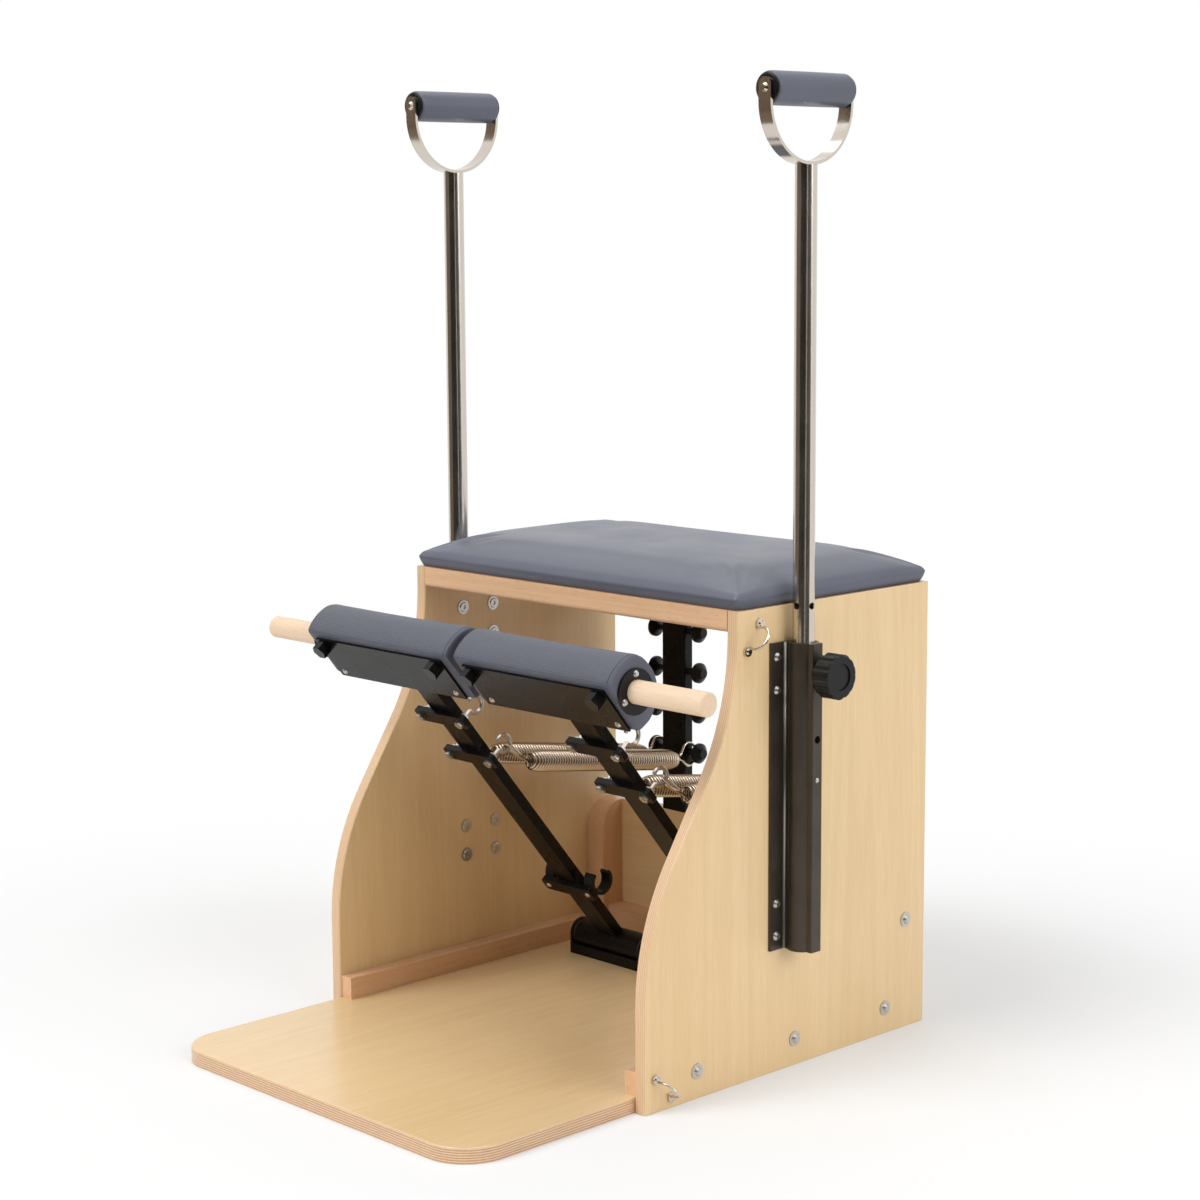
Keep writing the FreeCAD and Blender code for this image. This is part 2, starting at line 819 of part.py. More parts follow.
def pedal_arm():
    """The welded arm: sleeve, flat bar, block behind the plate, two yokes and the clip bar."""
    half = arm_width / 2
    sleeve = rod(V(-sleeve_half, 0, 0), V(sleeve_half, 0, 0), sleeve_radius)
    bar = box((-half, half), (-arm_front, arm_rear), (0, arm_top))
    block = box((-half, half), (-pad_front, -arm_front), (plate_bottom, arm_top))
    eye_half = eye_spread / 2
    clip_half = clip_spread / 2
    bars = [
        cross_bar(upper_yoke_reach, eye_half + yoke_end, eye_half, eye_shank_radius),
        cross_bar(lower_yoke_reach, eye_half + yoke_end, eye_half, eye_shank_radius),
        cross_bar(clip_bar_reach, clip_half + yoke_end, clip_half, screw_radius),
    ]
    arm = joined([sleeve, bar, block] + bars)
    over = V(sleeve_half + cut_over, 0, 0)
    return arm.cut(rod(-over, over, axle_radius + sleeve_bush_wall))


def sleeve_bushes():
    """Collared nylon bushes in both ends of a sleeve."""
    bushes = []
    outer = axle_radius + sleeve_bush_wall
    for side in (-1, 1):
        mouth = V(side * sleeve_half, 0, 0)
        inside = mouth - V(side * sleeve_bush_length, 0, 0)
        outside = mouth + V(side * sleeve_bush_collar, 0, 0)
        over = V(side * cut_over, 0, 0)
        bush = joined([rod(inside, mouth, outer), rod(mouth, outside, sleeve_radius)])
        bushes.append(bush.cut(rod(inside - over, outside + over, axle_radius + running_clearance)))
    return bushes


def plate_fixings():
    """Fixings on the front plate, as x and height: two bumpers above, two screws below."""
    half = bumper_spread / 2
    return [(-half, plate_top - bumper_inset), (half, plate_top - bumper_inset),
            (-half, plate_bottom + bumper_inset), (half, plate_bottom + bumper_inset)]


def pedal_plate():
    """The flat steel plate on the pad's front."""
    half = plate_width / 2
    plate = box((-half, half), (-plate_front, -pad_front), (plate_bottom, plate_top))
    return plate.cut([
        rod(V(x, -plate_front - cut_over, z), V(x, cut_over - pad_front, z), screw_radius)
        for x, z in plate_fixings()
    ])


def fixing_room():
    """Room for the shanks of the plate's fixings in the pad and its core."""
    depth = screw_length - plate_thickness
    return [rod(V(x, -pad_front - cut_over, z), V(x, depth - pad_front, z), screw_radius)
            for x, z in plate_fixings()]


def bumpers():
    """Six-sided rubber bumpers, each with the screw that holds it."""
    pieces = []
    for x, z in plate_fixings()[:2]:
        seat = V(x, -plate_front, z)
        foot = hexagon(seat, seat - V(0, bumper_height, 0), bumper_radius)
        shank = rod(seat, seat + V(0, screw_length, 0), screw_radius)
        pieces.append(joined([foot, shank]))
    return pieces


def eye_bolt_places():
    """Places of an arm's four eye bolts, as x and height."""
    half = eye_spread / 2
    return [(x, reach) for reach in (upper_yoke_reach, lower_yoke_reach) for x in (-half, half)]


def eye_bolt(x, reach):
    """An open eye on a threaded shank that goes through a yoke."""
    centre = V(x, eye_ring_y, reach)
    start = centre - V(0, eye_ring_radius, 0)
    section = Part.Face(Part.Wire([Part.Circle(start, V(0, 0, 1), eye_wire_radius).toShape()]))
    ring = section.revolve(centre, V(1, 0, 0), eye_ring_sweep)
    shank = rod(V(x, -yoke_front - eye_tail, reach), start, eye_shank_radius)
    return joined([shank, ring])


def eye_nuts(x, reach):
    """Nuts on both sides of the yoke."""
    nuts = []
    for start in (-yoke_front - nut_height, -arm_front):
        low = V(x, start, reach)
        high = low + V(0, nut_height, 0)
        over = V(0, cut_over, 0)
        nuts.append(hexagon(low, high, nut_radius).cut(rod(low - over, high + over, eye_shank_radius)))
    return nuts


def eye_bolts():
    """All eye bolts of an arm with their nuts."""
    pieces = []
    for x, reach in eye_bolt_places():
        pieces.append(eye_bolt(x, reach))
        pieces += eye_nuts(x, reach)
    return pieces


def dowel_clips():
    """Sprung clips behind the clip bar, open at the top, that hold the dowel when it is put away."""
    inner = dowel_radius + clip_slack
    outer = inner + clip_wall
    clips = []
    for side in (-1, 1):
        x = side * clip_spread / 2
        start = V(x - clip_width / 2, outer - arm_front, clip_bar_reach)
        end = start + V(clip_width, 0, 0)
        half_foot = clip_foot_height / 2
        foot = box((start.x, end.x), (-arm_front, outer - arm_front),
                   (clip_bar_reach - half_foot, clip_bar_reach + half_foot))
        over = V(cut_over, 0, 0)
        clip = joined([rod(start, end, outer), foot]).cut(rod(start - over, end + over, inner))
        mouth = Part.makeCylinder(2 * outer, clip_width + 2 * cut_over, start - over, V(1, 0, 0),
                                  clip_mouth_angle)
        mouth.rotate(start, V(1, 0, 0), mouth_turn(mouth, start))
        screw = rod(V(x, -arm_front, clip_bar_reach), V(x, screw_length - yoke_front, clip_bar_reach),
                    screw_radius)
        clips.append(clip.cut([mouth, screw]))
    return clips


def mouth_turn(mouth, centre):
    """How far a clip's mouth turns so that it opens straight up on the finished chair."""
    middle = mouth.CenterOfMass - centre
    now = math.degrees(math.atan2(middle.z, middle.y))
    return arm_angle - now


def pad_section(x, draw_in, front):
    """A pad's D-shaped section, drawn in by an amount, about the dowel's axis."""

    def at(place):
        reach = math.hypot(place[0], place[1])
        share = 1 - draw_in / reach
        return V(x, place[1] * share, dowel_reach + place[0] * share)

    top = V(x, -front, dowel_reach + pad_front_top - draw_in)
    bottom = V(x, -front, dowel_reach - pad_front_bottom + draw_in)
    return Part.Wire([
        line(bottom, top),
        arc(top, at(pad_upper_belly), at(pad_upper_shoulder)),
        arc(at(pad_upper_shoulder), at(pad_crest), at(pad_lower_shoulder)),
        arc(at(pad_lower_shoulder), at(pad_lower_turn), at(pad_lower_belly)),
        line(at(pad_lower_belly), bottom),
    ])


def arm_room():
    """Room for the arm's upper end in the pad and its core."""
    half = arm_width / 2 + free_gap
    return box((-half, half), (-pad_front - cut_over, arm_rear + free_gap),
               (dowel_reach + pad_lower_belly[0] - cut_over, arm_top + free_gap))


def dowel_room(radius):
    """A bore for the dowel right through a pad."""
    half = V(pad_length / 2 + flange_thickness + cut_over, 0, 0)
    axis = V(0, 0, dowel_reach)
    return rod(axis - half, axis + half, radius)


def pad_core_block():
    """The pad's wooden core before it is drilled."""
    half = pad_length / 2 - pad_end_skin
    section = pad_section(-half, pad_foam, pad_front - pad_skin)
    return Part.Face(section).extrude(V(2 * half, 0, 0))


def flange_fixings(side):
    """Screws of a dowel flange, as seats on its outer face."""
    face_x = side * (pad_length / 2 + flange_thickness)
    seats = []
    for index in range(flange_screws):
        angle = math.radians(arm_angle + 360 * index / flange_screws)
        seats.append(V(face_x, flange_screw_circle * math.cos(angle),
                       dowel_reach + flange_screw_circle * math.sin(angle)))
    return seats


def flange_holes(side):
    """Room for the flange screws' shanks."""
    inward = V(-side * screw_length, 0, 0)
    return [rod(seat, seat + inward, screw_radius) for seat in flange_fixings(side)]


def pad_core(side):
    """A pad's wooden core, bored for the dowel."""
    return pad_core_block().cut([arm_room(), dowel_room(dowel_radius + sliding_clearance)]
                                + fixing_room() + flange_holes(side))


def pedal_pad(side):
    """A pad's foam and cover round its core, a little drawn in at the ends."""
    half = pad_length / 2
    stations = ((-half, pad_end_draw_in), (pad_end_round - half, 0), (half - pad_end_round, 0),
                (half, pad_end_draw_in))
    pad = Part.makeLoft([pad_section(x, draw_in, pad_front) for x, draw_in in stations], True, True)
    return pad.cut([pad_core_block(), arm_room(), dowel_room(dowel_radius + free_gap)]
                   + fixing_room() + flange_holes(side))


def dowel_flange(side):
    """The round black flange where the dowel leaves a pad's outer end."""
    start = V(side * pad_length / 2, 0, dowel_reach)
    flange = bored_rod(start, start + V(side * flange_thickness, 0, 0), flange_radius,
                       dowel_radius + sliding_clearance)
    return flange.cut(flange_holes(side))


def pedal_screws(side):
    """A pedal's screws: in its plate, its dowel flange and its clips."""
    screws = [wood_screw(V(x, -plate_front, z), V(0, -1, 0)) for x, z in plate_fixings()[2:]]
    screws += [wood_screw(seat, V(side, 0, 0)) for seat in flange_fixings(side)]
    half = clip_spread / 2
    screws += [wood_screw(V(x, -yoke_front, clip_bar_reach), V(0, -1, 0)) for x in (-half, half)]
    return screws


def pedal_dowel():
    """The push dowel through both pads."""
    centre = pedal_point(V(0, 0, dowel_reach), 0)
    half = V(dowel_length / 2, 0, 0)
    dowel = rod(centre - half, centre + half, dowel_radius)
    rims = [edge for edge in dowel.Edges if edge.BoundBox.XLength < dowel_radius]
    return dowel.makeChamfer(dowel_chamfer, rims)


def tangent_arc(start, corner, end):
    """The arc that leaves start towards corner and reaches end from it, with its radius."""
    middle = (start + end) / 2
    leg = (corner - start).Length
    sine = (end - start).Length / 2 / leg
    cosine = math.sqrt(1 - sine * sine)
    inward = (middle - corner).normalize()
    return arc(start, corner + inward * (leg * (1 - sine) / cosine), end), leg * sine / cosine


def biarc(start, start_way, end, end_way):
    """Two arcs that join two points and keep the direction at both."""
    run = end - start
    ways = start_way + end_way
    bend = 1 - start_way.dot(end_way)
    along = run.dot(ways)
    reach = run.dot(run)
    leg = reach / (along + math.sqrt(along * along + 2 * bend * reach))
    corners = (start + start_way * leg, end - end_way * leg)
    joint = (corners[0] + corners[1]) / 2
    return [tangent_arc(start, corners[0], joint), tangent_arc(joint, corners[1], end)]


def end_loop(centre, outward, side, radius):
    """Stations of a drawn-out wire loop, from the spring's axis round to its free end beside the axis."""
    wire = 2 * spring_wire_radius
    beside = wire + 2 * free_gap
    return [
        (centre - outward * spring_loop_length, outward),
        (centre + side * radius, outward),
        (centre + outward * radius, -side),
        (centre - side * radius, -outward),
        (centre - outward * (spring_loop_length - wire) - side * beside, -outward),
    ]


def coil_place(turn, start, rise, across, upward):
    """A point on a coil that narrows towards both ends."""
    ends = min(turn, spring_turns - turn) / spring_taper_turns
    radius = spring_coil_radius * min(1, spring_mouth_share + (1 - spring_mouth_share) * ends)
    angle = 2 * math.pi * turn
    return start + rise * turn + (across * math.cos(angle) + upward * math.sin(angle)) * radius


def spring_stations(inward, rear_loop):
    """Stations along a pull spring: front loop, slack coil of half turns, rear loop."""
    front_loop = [(place, -way) for place, way in reversed(inward)]
    span = rear_loop[0][0] - front_loop[-1][0]
    axis = span / span.Length
    across = axis.cross(V(1, 0, 0)).normalize()
    upward = across.cross(axis)
    start = front_loop[-1][0] + axis * spring_lead
    rise = axis * ((span.Length - 2 * spring_lead) / spring_turns)
    coil = []
    for step in range(2 * spring_turns + 1):
        near = [coil_place(step / 2 + shift, start, rise, across, upward) for shift in coil_step_shares]
        coil.append((near[1], (near[2] - near[0]).normalize()))
    return front_loop + coil + rear_loop


def least_gap(wire):
    """The least gap between turns of a wire, measured on points along it."""
    points = wire.discretize(Distance=fine_step)
    apart = int(3 * math.pi * spring_wire_radius / fine_step)
    least = min(
        (points[first] - points[second]).Length
        for first in range(len(points)) for second in range(first + apart, len(points))
    )
    return least - 2 * spring_wire_radius


def sagging(pull, angle):
    """A direction turned down from a spring's pull by an angle, in an upright plane."""
    down = pull.cross(V(1, 0, 0)).normalize()
    return pull * math.cos(math.radians(angle)) + down * math.sin(math.radians(angle))


def pull_spring(side, outer):
    """One slack spring, from a lower eye bolt to the lowest peg on the same side of its column."""
    offset = side * outer * eye_spread / 2
    ring = pedal_point(V(offset, eye_ring_y, lower_yoke_reach), side)
    peg_x = side * pedal_x + side * outer * (column_width + peg_neck_length) / 2
    peg = V(peg_x, column_y, peg_bottom_z)
    pull = (peg - ring).normalize()
    wire = spring_wire_radius
    front_way = sagging(pull, front_sag_angle)
    rear_way = sagging(pull, -rear_sag_angle)
    held = ring + front_way * eye_ring_radius
    front = held + front_way * (front_loop_radius - wire - eye_wire_radius - free_gap)
    rear = peg - rear_way * (rear_loop_radius - wire - peg_neck_radius - free_gap)
    downward = rear_way.cross(V(1, 0, 0)).normalize()
    stations = spring_stations(
        end_loop(front, -front_way, V(side * outer, 0, 0), front_loop_radius),
        end_loop(rear, rear_way, downward, rear_loop_radius),
    )
    edges = []
    radii = []
    for (start, start_way), (end, end_way) in zip(stations, stations[1:]):
        for edge, radius in biarc(start, start_way, end, end_way):
            edges.append(edge)
            radii.append(radius)
    tail = 2 * wire
    first, first_way = stations[0]
    last, last_way = stations[-1]
    edges = [line(first - first_way * tail, first)] + edges + [line(last, last + last_way * tail)]
    path = Part.Wire(edges)
    section = Part.Wire([Part.Circle(first - first_way * tail, first_way, wire).toShape()])
    print("spring: least gap %.2f, tightest bend %.2f" % (least_gap(path), min(radii)))
    return path.makePipeShell([section], True, False)


def pole():
    """The right handle's pole with its index holes, its top shaped to the strap."""
    top = pole_top + strap_thickness
    foot = V(pole_x, pole_y, pole_bottom)
    tube = bored_rod(foot, V(pole_x, pole_y, top), pole_radius, pole_radius - pole_wall)
    cuts = [rod(V(pole_x - strap_width, pole_y, pole_top + strap_radius),
                V(pole_x + strap_width, pole_y, pole_top + strap_radius), strap_radius)]
    for step in range(-index_holes_down, index_holes_up + 1):
        centre = V(pole_x, pole_y, knob_z + step * index_pitch)
        for way in (V(1, 0, 0), V(0, -1, 0)):
            cuts.append(rod(centre, centre + way * (pole_radius + cut_over), index_radius))
    return tube.cut(cuts)


def pole_plug():
    """The nylon plug in the foot of the right pole."""
    foot = V(pole_x, pole_y, pole_bottom)
    spigot = rod(foot, foot + V(0, 0, plug_length - plug_flange),
                 pole_radius - pole_wall - running_clearance)
    flange = rod(foot - V(0, 0, plug_flange), foot, pole_radius - running_clearance)
    return joined([spigot, flange])


def handle_strap():
    """The right handle's flat strap: a half ring with straight, round-ended sides."""
    middle_z = pole_top + strap_radius
    half = strap_width / 2
    left = V(pole_x - half, pole_y, middle_z)
    right = V(pole_x + half, pole_y, middle_z)
    over = V(cut_over, 0, 0)
    inner = strap_radius - strap_thickness
    ring = rod(left, right, strap_radius).cut(rod(left - over, right + over, inner))
    ring = ring.cut(box((left.x - cut_over, right.x + cut_over), (pole_y - strap_span, pole_y + strap_span),
                        (middle_z, middle_z + strap_span)))
    legs = []
    for side in (-1, 1):
        outside = pole_y + side * strap_radius
        inside = outside - side * strap_thickness
        top = grip_z + strap_end_rise
        leg = box((left.x, right.x), (inside, outside), (middle_z, top))
        end = rod(V(pole_x, inside, top), V(pole_x, outside, top), half)
        legs += [leg, end]
    strap = joined([ring] + legs)
    reach = V(0, strap_radius + cut_over, 0)
    middle = V(pole_x, pole_y, grip_z)
    return strap.cut(rod(middle - reach, middle + reach, grip_screw_radius))


def handle_grip():
    """The right handle's padded grip between the strap's ends."""
    half = V(0, grip_length / 2, 0)
    middle = V(pole_x, pole_y, grip_z)
    grip = rod(middle - half, middle + half, grip_radius)
    rims = [edge for edge in grip.Edges if edge.BoundBox.YLength < grip_radius]
    grip = grip.makeFillet(grip_edge, rims)
    depth = V(0, grip_screw_length - strap_thickness, 0)
    return grip.cut([rod(middle - half, middle - half + depth, grip_screw_radius),
                     rod(middle + half, middle + half - depth, grip_screw_radius)])


def grip_screws():
    """Screws through the strap's ends into the right grip."""
    middle = V(pole_x, pole_y, grip_z)
    screws = []
    for side in (-1, 1):
        way = V(0, side, 0)
        screws.append(head_bolt(middle + way * strap_radius, way, grip_screw_length, grip_screw_radius,
                                grip_screw_head_radius, grip_screw_head))
    return screws


def lock_knob():
    """The right lock knob: a fluted head, a neck and the stud that reaches the pole."""
    face_x = knob_back_x + knob_length
    back = V(knob_back_x, pole_y, knob_z)
    face = V(face_x, pole_y, knob_z)
    head = rod(back, face, knob_radius)
    rims = [edge for edge in head.Edges if edge.BoundBox.XLength < knob_length / 2]
    head = head.makeChamfer(knob_recess_depth, rims)
    over = V(cut_over, 0, 0)
    cuts = [rod(face - V(knob_recess_depth, 0, 0), face + over, knob_recess_radius)]
    for index in range(knob_flutes):
        angle = 2 * math.pi * index / knob_flutes
        reach = knob_radius + knob_flute_radius - knob_flute_depth
        shift = V(0, reach * math.cos(angle), reach * math.sin(angle))
        cuts.append(rod(back + shift - over, face + shift + over, knob_flute_radius))
    head = head.cut(cuts)
    neck = rod(V(bracket_out + free_gap, pole_y, knob_z), back, knob_neck_radius)
    stud = rod(V(pole_x + pole_radius + free_gap, pole_y, knob_z), back, stud_radius)
    return joined([head, neck, stud])


def save_cabinet():
    """Write the pieces that stay still."""
    panel = side_panel()
    save("right_side_panel", panel)
    save("left_side_panel", mirrored(panel))
    save("base_board", base_board())
    save("base_cleats", both_sides(base_cleat()))
    save("rear_board", rear_board())
    save("rear_battens", both_sides(rear_batten()))
    save("rear_base_cleat", rear_base_cleat())
    save("front_top_rail", top_rail(seat_front_y, rail_height, seat_front_y))
    save("rear_top_rail", top_rail(rear_y - rail_depth, rear_rail_height, rear_y))
    save("seat_board", seat_board())
    save("seat_cushion", seat_cushion())
    save("spring_columns", both_sides(spring_column()))
    save("spring_pegs", spring_pegs())
    bracket = pole_bracket()
    save("right_pole_bracket", bracket)
    save("left_pole_bracket", mirrored(bracket))
    for node, pieces in (
        ("pole_bushes", pole_bushes()),
        ("bracket_bolts", bracket_bolts()),
        ("bracket_nuts", bracket_nuts()),
        ("cabinet_bolts", cabinet_bolts()),
        ("strap_hooks", strap_hooks()),
    ):
        save(node, pieces + [mirrored(piece) for piece in pieces])
    save("pivot_brackets", both_sides(pivot_bracket()))
    save("pivot_axles", both_sides(pivot_axle()))
    save("pivot_screws", pivot_screws())


def save_pedals():
    """Write both pedals, the dowel and the springs."""
    arm = pedal_arm()
    plate = pedal_plate()
    for name, side in (("left", -1), ("right", 1)):
        for node, pieces in (
            ("pedal_arm", [arm]),
            ("pedal_plate", [plate]),
            ("sleeve_bushes", sleeve_bushes()),
            ("eye_bolts", eye_bolts()),
            ("dowel_clips", dowel_clips()),
            ("pad_core", [pad_core(side)]),
            ("pedal_pad", [pedal_pad(side)]),
            ("dowel_flange", [dowel_flange(side)]),
            ("pedal_bumpers", bumpers()),
            ("pedal_screws", pedal_screws(side)),
        ):
            save(name + "_" + node, [on_pedal(piece, side) for piece in pieces])
        for place, outer in (("inner", -1), ("outer", 1)):
            save(name + "_" + place + "_spring", pull_spring(side, outer))
    save("pedal_dowel", pedal_dowel())


def save_handles():
    """Write both handles and their lock knobs."""
    for node, pieces in (
        ("pole", [pole()]),
        ("pole_plug", [pole_plug()]),
        ("handle_strap", [handle_strap()]),
        ("handle_grip", [handle_grip()]),
        ("grip_screws", grip_screws()),
        ("lock_knob", [lock_knob()]),
    ):
        save("right_" + node, pieces)
        save("left_" + node, [mirrored(piece) for piece in pieces])


def main():
    """Build every piece."""
    os.makedirs("parts", exist_ok=True)
    save_cabinet()
    save_pedals()
    save_handles()


main()
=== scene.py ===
"""Pilates chair: finishes, upholstery, wound springs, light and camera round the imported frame.

Sizes in the classes of pieces are millimetres and become metres where a mesh is made. A depth of relief
and the studio's lengths are metres. The frame's axes hold throughout: X to the right, Y to the back and Z up.
"""

import logging
import math
from dataclasses import dataclass
from enum import Enum
from typing import Any, Iterable, Optional, Sequence

import bmesh
import bpy
import numpy as np
from mathutils import Matrix, Vector


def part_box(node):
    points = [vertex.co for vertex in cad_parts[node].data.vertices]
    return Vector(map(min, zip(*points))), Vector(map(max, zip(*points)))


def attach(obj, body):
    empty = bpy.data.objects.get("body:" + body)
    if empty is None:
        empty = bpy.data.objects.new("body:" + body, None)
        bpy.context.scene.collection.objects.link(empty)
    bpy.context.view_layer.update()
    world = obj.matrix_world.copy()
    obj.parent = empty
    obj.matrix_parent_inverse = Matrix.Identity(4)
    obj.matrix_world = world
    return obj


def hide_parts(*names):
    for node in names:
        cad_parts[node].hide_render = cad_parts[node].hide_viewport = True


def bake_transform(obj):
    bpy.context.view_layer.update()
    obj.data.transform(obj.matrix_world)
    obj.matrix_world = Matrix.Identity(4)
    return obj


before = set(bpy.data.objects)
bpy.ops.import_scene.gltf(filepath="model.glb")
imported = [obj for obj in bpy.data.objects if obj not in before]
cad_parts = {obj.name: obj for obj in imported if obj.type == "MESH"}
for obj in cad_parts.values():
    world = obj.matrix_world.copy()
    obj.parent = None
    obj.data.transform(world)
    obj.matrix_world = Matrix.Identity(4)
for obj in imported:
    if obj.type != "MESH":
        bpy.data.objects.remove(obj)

LOG = logging.getLogger("pilates_chair")
MM = 0.001
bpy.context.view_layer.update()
Colour = tuple[float, float, float]


class Axis(Enum):
    """The direction of a grain, a brushing or a board's thickness."""

    X = 0
    Y = 1
    Z = 2


class Place(Enum):
    """A choice of place whose name is part of the pieces' names."""

    @property
    def word(self) -> str:
        """The place's name as the CAD nodes spell it."""
        return self.name.lower()


class Side(Place):
    """A side of the chair, seen from the front."""

    LEFT = -1
    RIGHT = 1


class Lane(Place):
    """One of a pedal's two springs: the one near the middle of the chair, or the other."""

    INNER = -1
    OUTER = 1


class Corner(Place):
    """A corner beside a pole bracket's neck: in front of the pole or behind it."""

    FRONT = -1
    REAR = 1


def tint(red: int, green: int, blue: int) -> Colour:
    """Turns a colour as seen on screen into the light it stands for.

    A share s becomes ((s + 0.055) / 1.055) to the power 2.4, or s / 12.92 near black.

    Args:
        red: Red from 0 to 255.
        green: Green from 0 to 255.
        blue: Blue from 0 to 255.

    Returns:
        The colour as shares of full light.
    """
    seen = np.array([red, green, blue]) / 255.0
    light = np.where(seen <= 0.04045, seen / 12.92, ((seen + 0.055) / 1.055) ** 2.4)
    return tuple(float(share) for share in light)


def unit(rows: np.ndarray) -> np.ndarray:
    """Scales each row vector to length one."""
    return rows / np.maximum(np.linalg.norm(rows, axis=-1, keepdims=True), 1e-12)


def smooth(share: np.ndarray) -> np.ndarray:
    """Eases a share from 0 to 1 with level ends."""
    held = np.clip(share, 0.0, 1.0)
    return held * held * (3.0 - 2.0 * held)


def spokes(count: int) -> np.ndarray:
    """Even angles round a full circle, from 0."""
    return 2.0 * math.pi * np.arange(count) / count


def travel(line: np.ndarray) -> np.ndarray:
    """How far along a line each of its points lies."""
    return np.concatenate([[0.0], np.cumsum(np.linalg.norm(np.diff(line, axis=0), axis=1))])


def stops_on(line: np.ndarray, stops: np.ndarray) -> np.ndarray:
    """The places at given distances along a line."""
    length = travel(line)
    return np.stack([np.interp(stops, length, column) for column in line.T], -1)


def straight(start: np.ndarray, end: np.ndarray, count: int) -> np.ndarray:
    """Even points from start towards end, without the last."""
    return start + np.linspace(0, 1, count, endpoint=False)[:, None] * (end - start)


# Meshes


def stand(name: str, data: bpy.types.ID) -> bpy.types.Object:
    """Makes an object of some data and links it to the scene.

    Args:
        name: The object's name.
        data: Its mesh, camera or light.

    Returns:
        The object.
    """
    made = bpy.data.objects.new(name, data)
    bpy.context.scene.collection.objects.link(made)
    return made


def lattice(rows: int, columns: int, wrap_rows: bool, wrap_columns: bool) -> tuple[np.ndarray, np.ndarray]:
    """Numbers the quads of a lattice of points laid out row by row.

    Args:
        rows: How many rows of points.
        columns: How many points in a row.
        wrap_rows: Whether the last row joins the first.
        wrap_columns: Whether each row closes on itself.

    Returns:
        The quads as point numbers, and the (row, column) of each quad's corners before wrapping.
    """
    row, column = np.meshgrid(np.arange(rows if wrap_rows else rows - 1),
                              np.arange(columns if wrap_columns else columns - 1), indexing="ij")
    corner_rows = np.stack([row, row + 1, row + 1, row], -1).reshape(-1, 4)
    corner_columns = np.stack([column, column, column + 1, column + 1], -1).reshape(-1, 4)
    quads = (corner_rows % rows) * columns + corner_columns % columns
    return quads, np.stack([corner_rows, corner_columns], -1)


def make_piece(name: str, points: np.ndarray, faces: Iterable[Sequence[int]],
               uv: Optional[np.ndarray] = None) -> bpy.types.Object:
    """Makes a smooth-shaded mesh piece whose faces point outwards.

    Args:
        name: The piece's name.
        points: Its points in millimetres.
        faces: Its faces as point numbers.
        uv: Each face corner's place on the cover, in metres, in the faces' order.

    Returns:
        The new object, linked to the scene.
    """
    mesh = bpy.data.meshes.new(name)
    mesh.from_pydata((points.reshape(-1, 3) * MM).tolist(), [], list(faces))
    if uv is not None:
        mesh.uv_layers.new(name="cover").data.foreach_set("uv", uv.astype(np.float32).ravel())
    shell = bmesh.new()
    shell.from_mesh(mesh)
    bmesh.ops.recalc_face_normals(shell, faces=shell.faces)
    shell.to_mesh(mesh)
    shell.free()
    mesh.shade_smooth()
    return stand(name, mesh)


def coordinates(mesh: bpy.types.Mesh) -> np.ndarray:
    """Reads a mesh's points.

    Args:
        mesh: The mesh.

    Returns:
        Rows of x, y and z, in metres.
    """
    flat = np.empty(len(mesh.vertices) * 3, np.float32)
    mesh.vertices.foreach_get("co", flat)
    return flat.reshape(-1, 3).astype(float)


def subdivide(piece: bpy.types.Object, levels: int = 1) -> None:
    """Adds a subdivision surface with the same level on screen and in the render.

    Args:
        piece: The piece to smooth.
        levels: How often its faces are divided.
    """
    step = piece.modifiers.new("subdivision", "SUBSURF")
    step.levels = levels
    step.render_levels = levels


def sweep(path: np.ndarray, lean: np.ndarray, radius: float, sides: int) -> tuple[np.ndarray, list]:
    """Carries a circle along a path, square to it, and closes both ends with a centre point.

    At each station the circle's first spoke is lean x way, so that a steady lean gives no twist.

    Args:
        path: Stations along the middle line.
        lean: A direction at each station that is never along the path.
        radius: The circle's radius.
        sides: Points round the circle.

    Returns:
        The points, and the faces as point numbers.
    """
    way = unit(np.gradient(path, axis=0))
    across = unit(np.cross(lean, way))
    upward = np.cross(way, across)
    turn = spokes(sides)
    ring = across[:, None] * np.cos(turn)[:, None] + upward[:, None] * np.sin(turn)[:, None]
    skin = (path[:, None] + radius * ring).reshape(-1, 3)
    quads, _ = lattice(len(path), sides, False, True)
    first = np.arange(sides)
    last = first + (len(path) - 1) * sides
    start, end = len(skin), len(skin) + 1
    fan = np.stack([np.full(sides, start), np.roll(first, -1), first], -1)
    far = np.stack([np.full(sides, end), last, np.roll(last, -1)], -1)
    return np.vstack([skin, path[:1], path[-1:]]), quads.tolist() + fan.tolist() + far.tolist()


def flowing(places: np.ndarray, ways: np.ndarray, steps: int, fullness: float = 1.15) -> np.ndarray:
    """Joins stations by cubic pieces that keep each station's direction.

    A piece is h00 p + h10 m + h01 q + h11 n, with both end slopes as long as fullness times its chord.

    Args:
        places: The stations.
        ways: Unit directions at the stations.
        steps: Points per piece.
        fullness: How far the pieces bow, where 1.17 makes a quarter circle.

    Returns:
        Points along the joined line, without the last station.
    """
    share = (np.arange(steps) / steps)[None, :, None]
    chord = fullness * np.linalg.norm(np.diff(places, axis=0), axis=1)[:, None, None]
    square, cube = share ** 2, share ** 3
    joined = ((2 * cube - 3 * square + 1) * places[:-1, None]
              + (cube - 2 * square + share) * chord * ways[:-1, None]
              + (3 * square - 2 * cube) * places[1:, None] + (cube - square) * chord * ways[1:, None])
    return joined.reshape(-1, 3)


# Finishes


# Most values of a noise texture lie in this range.
NOISE_SPAN = (0.3, 0.7)


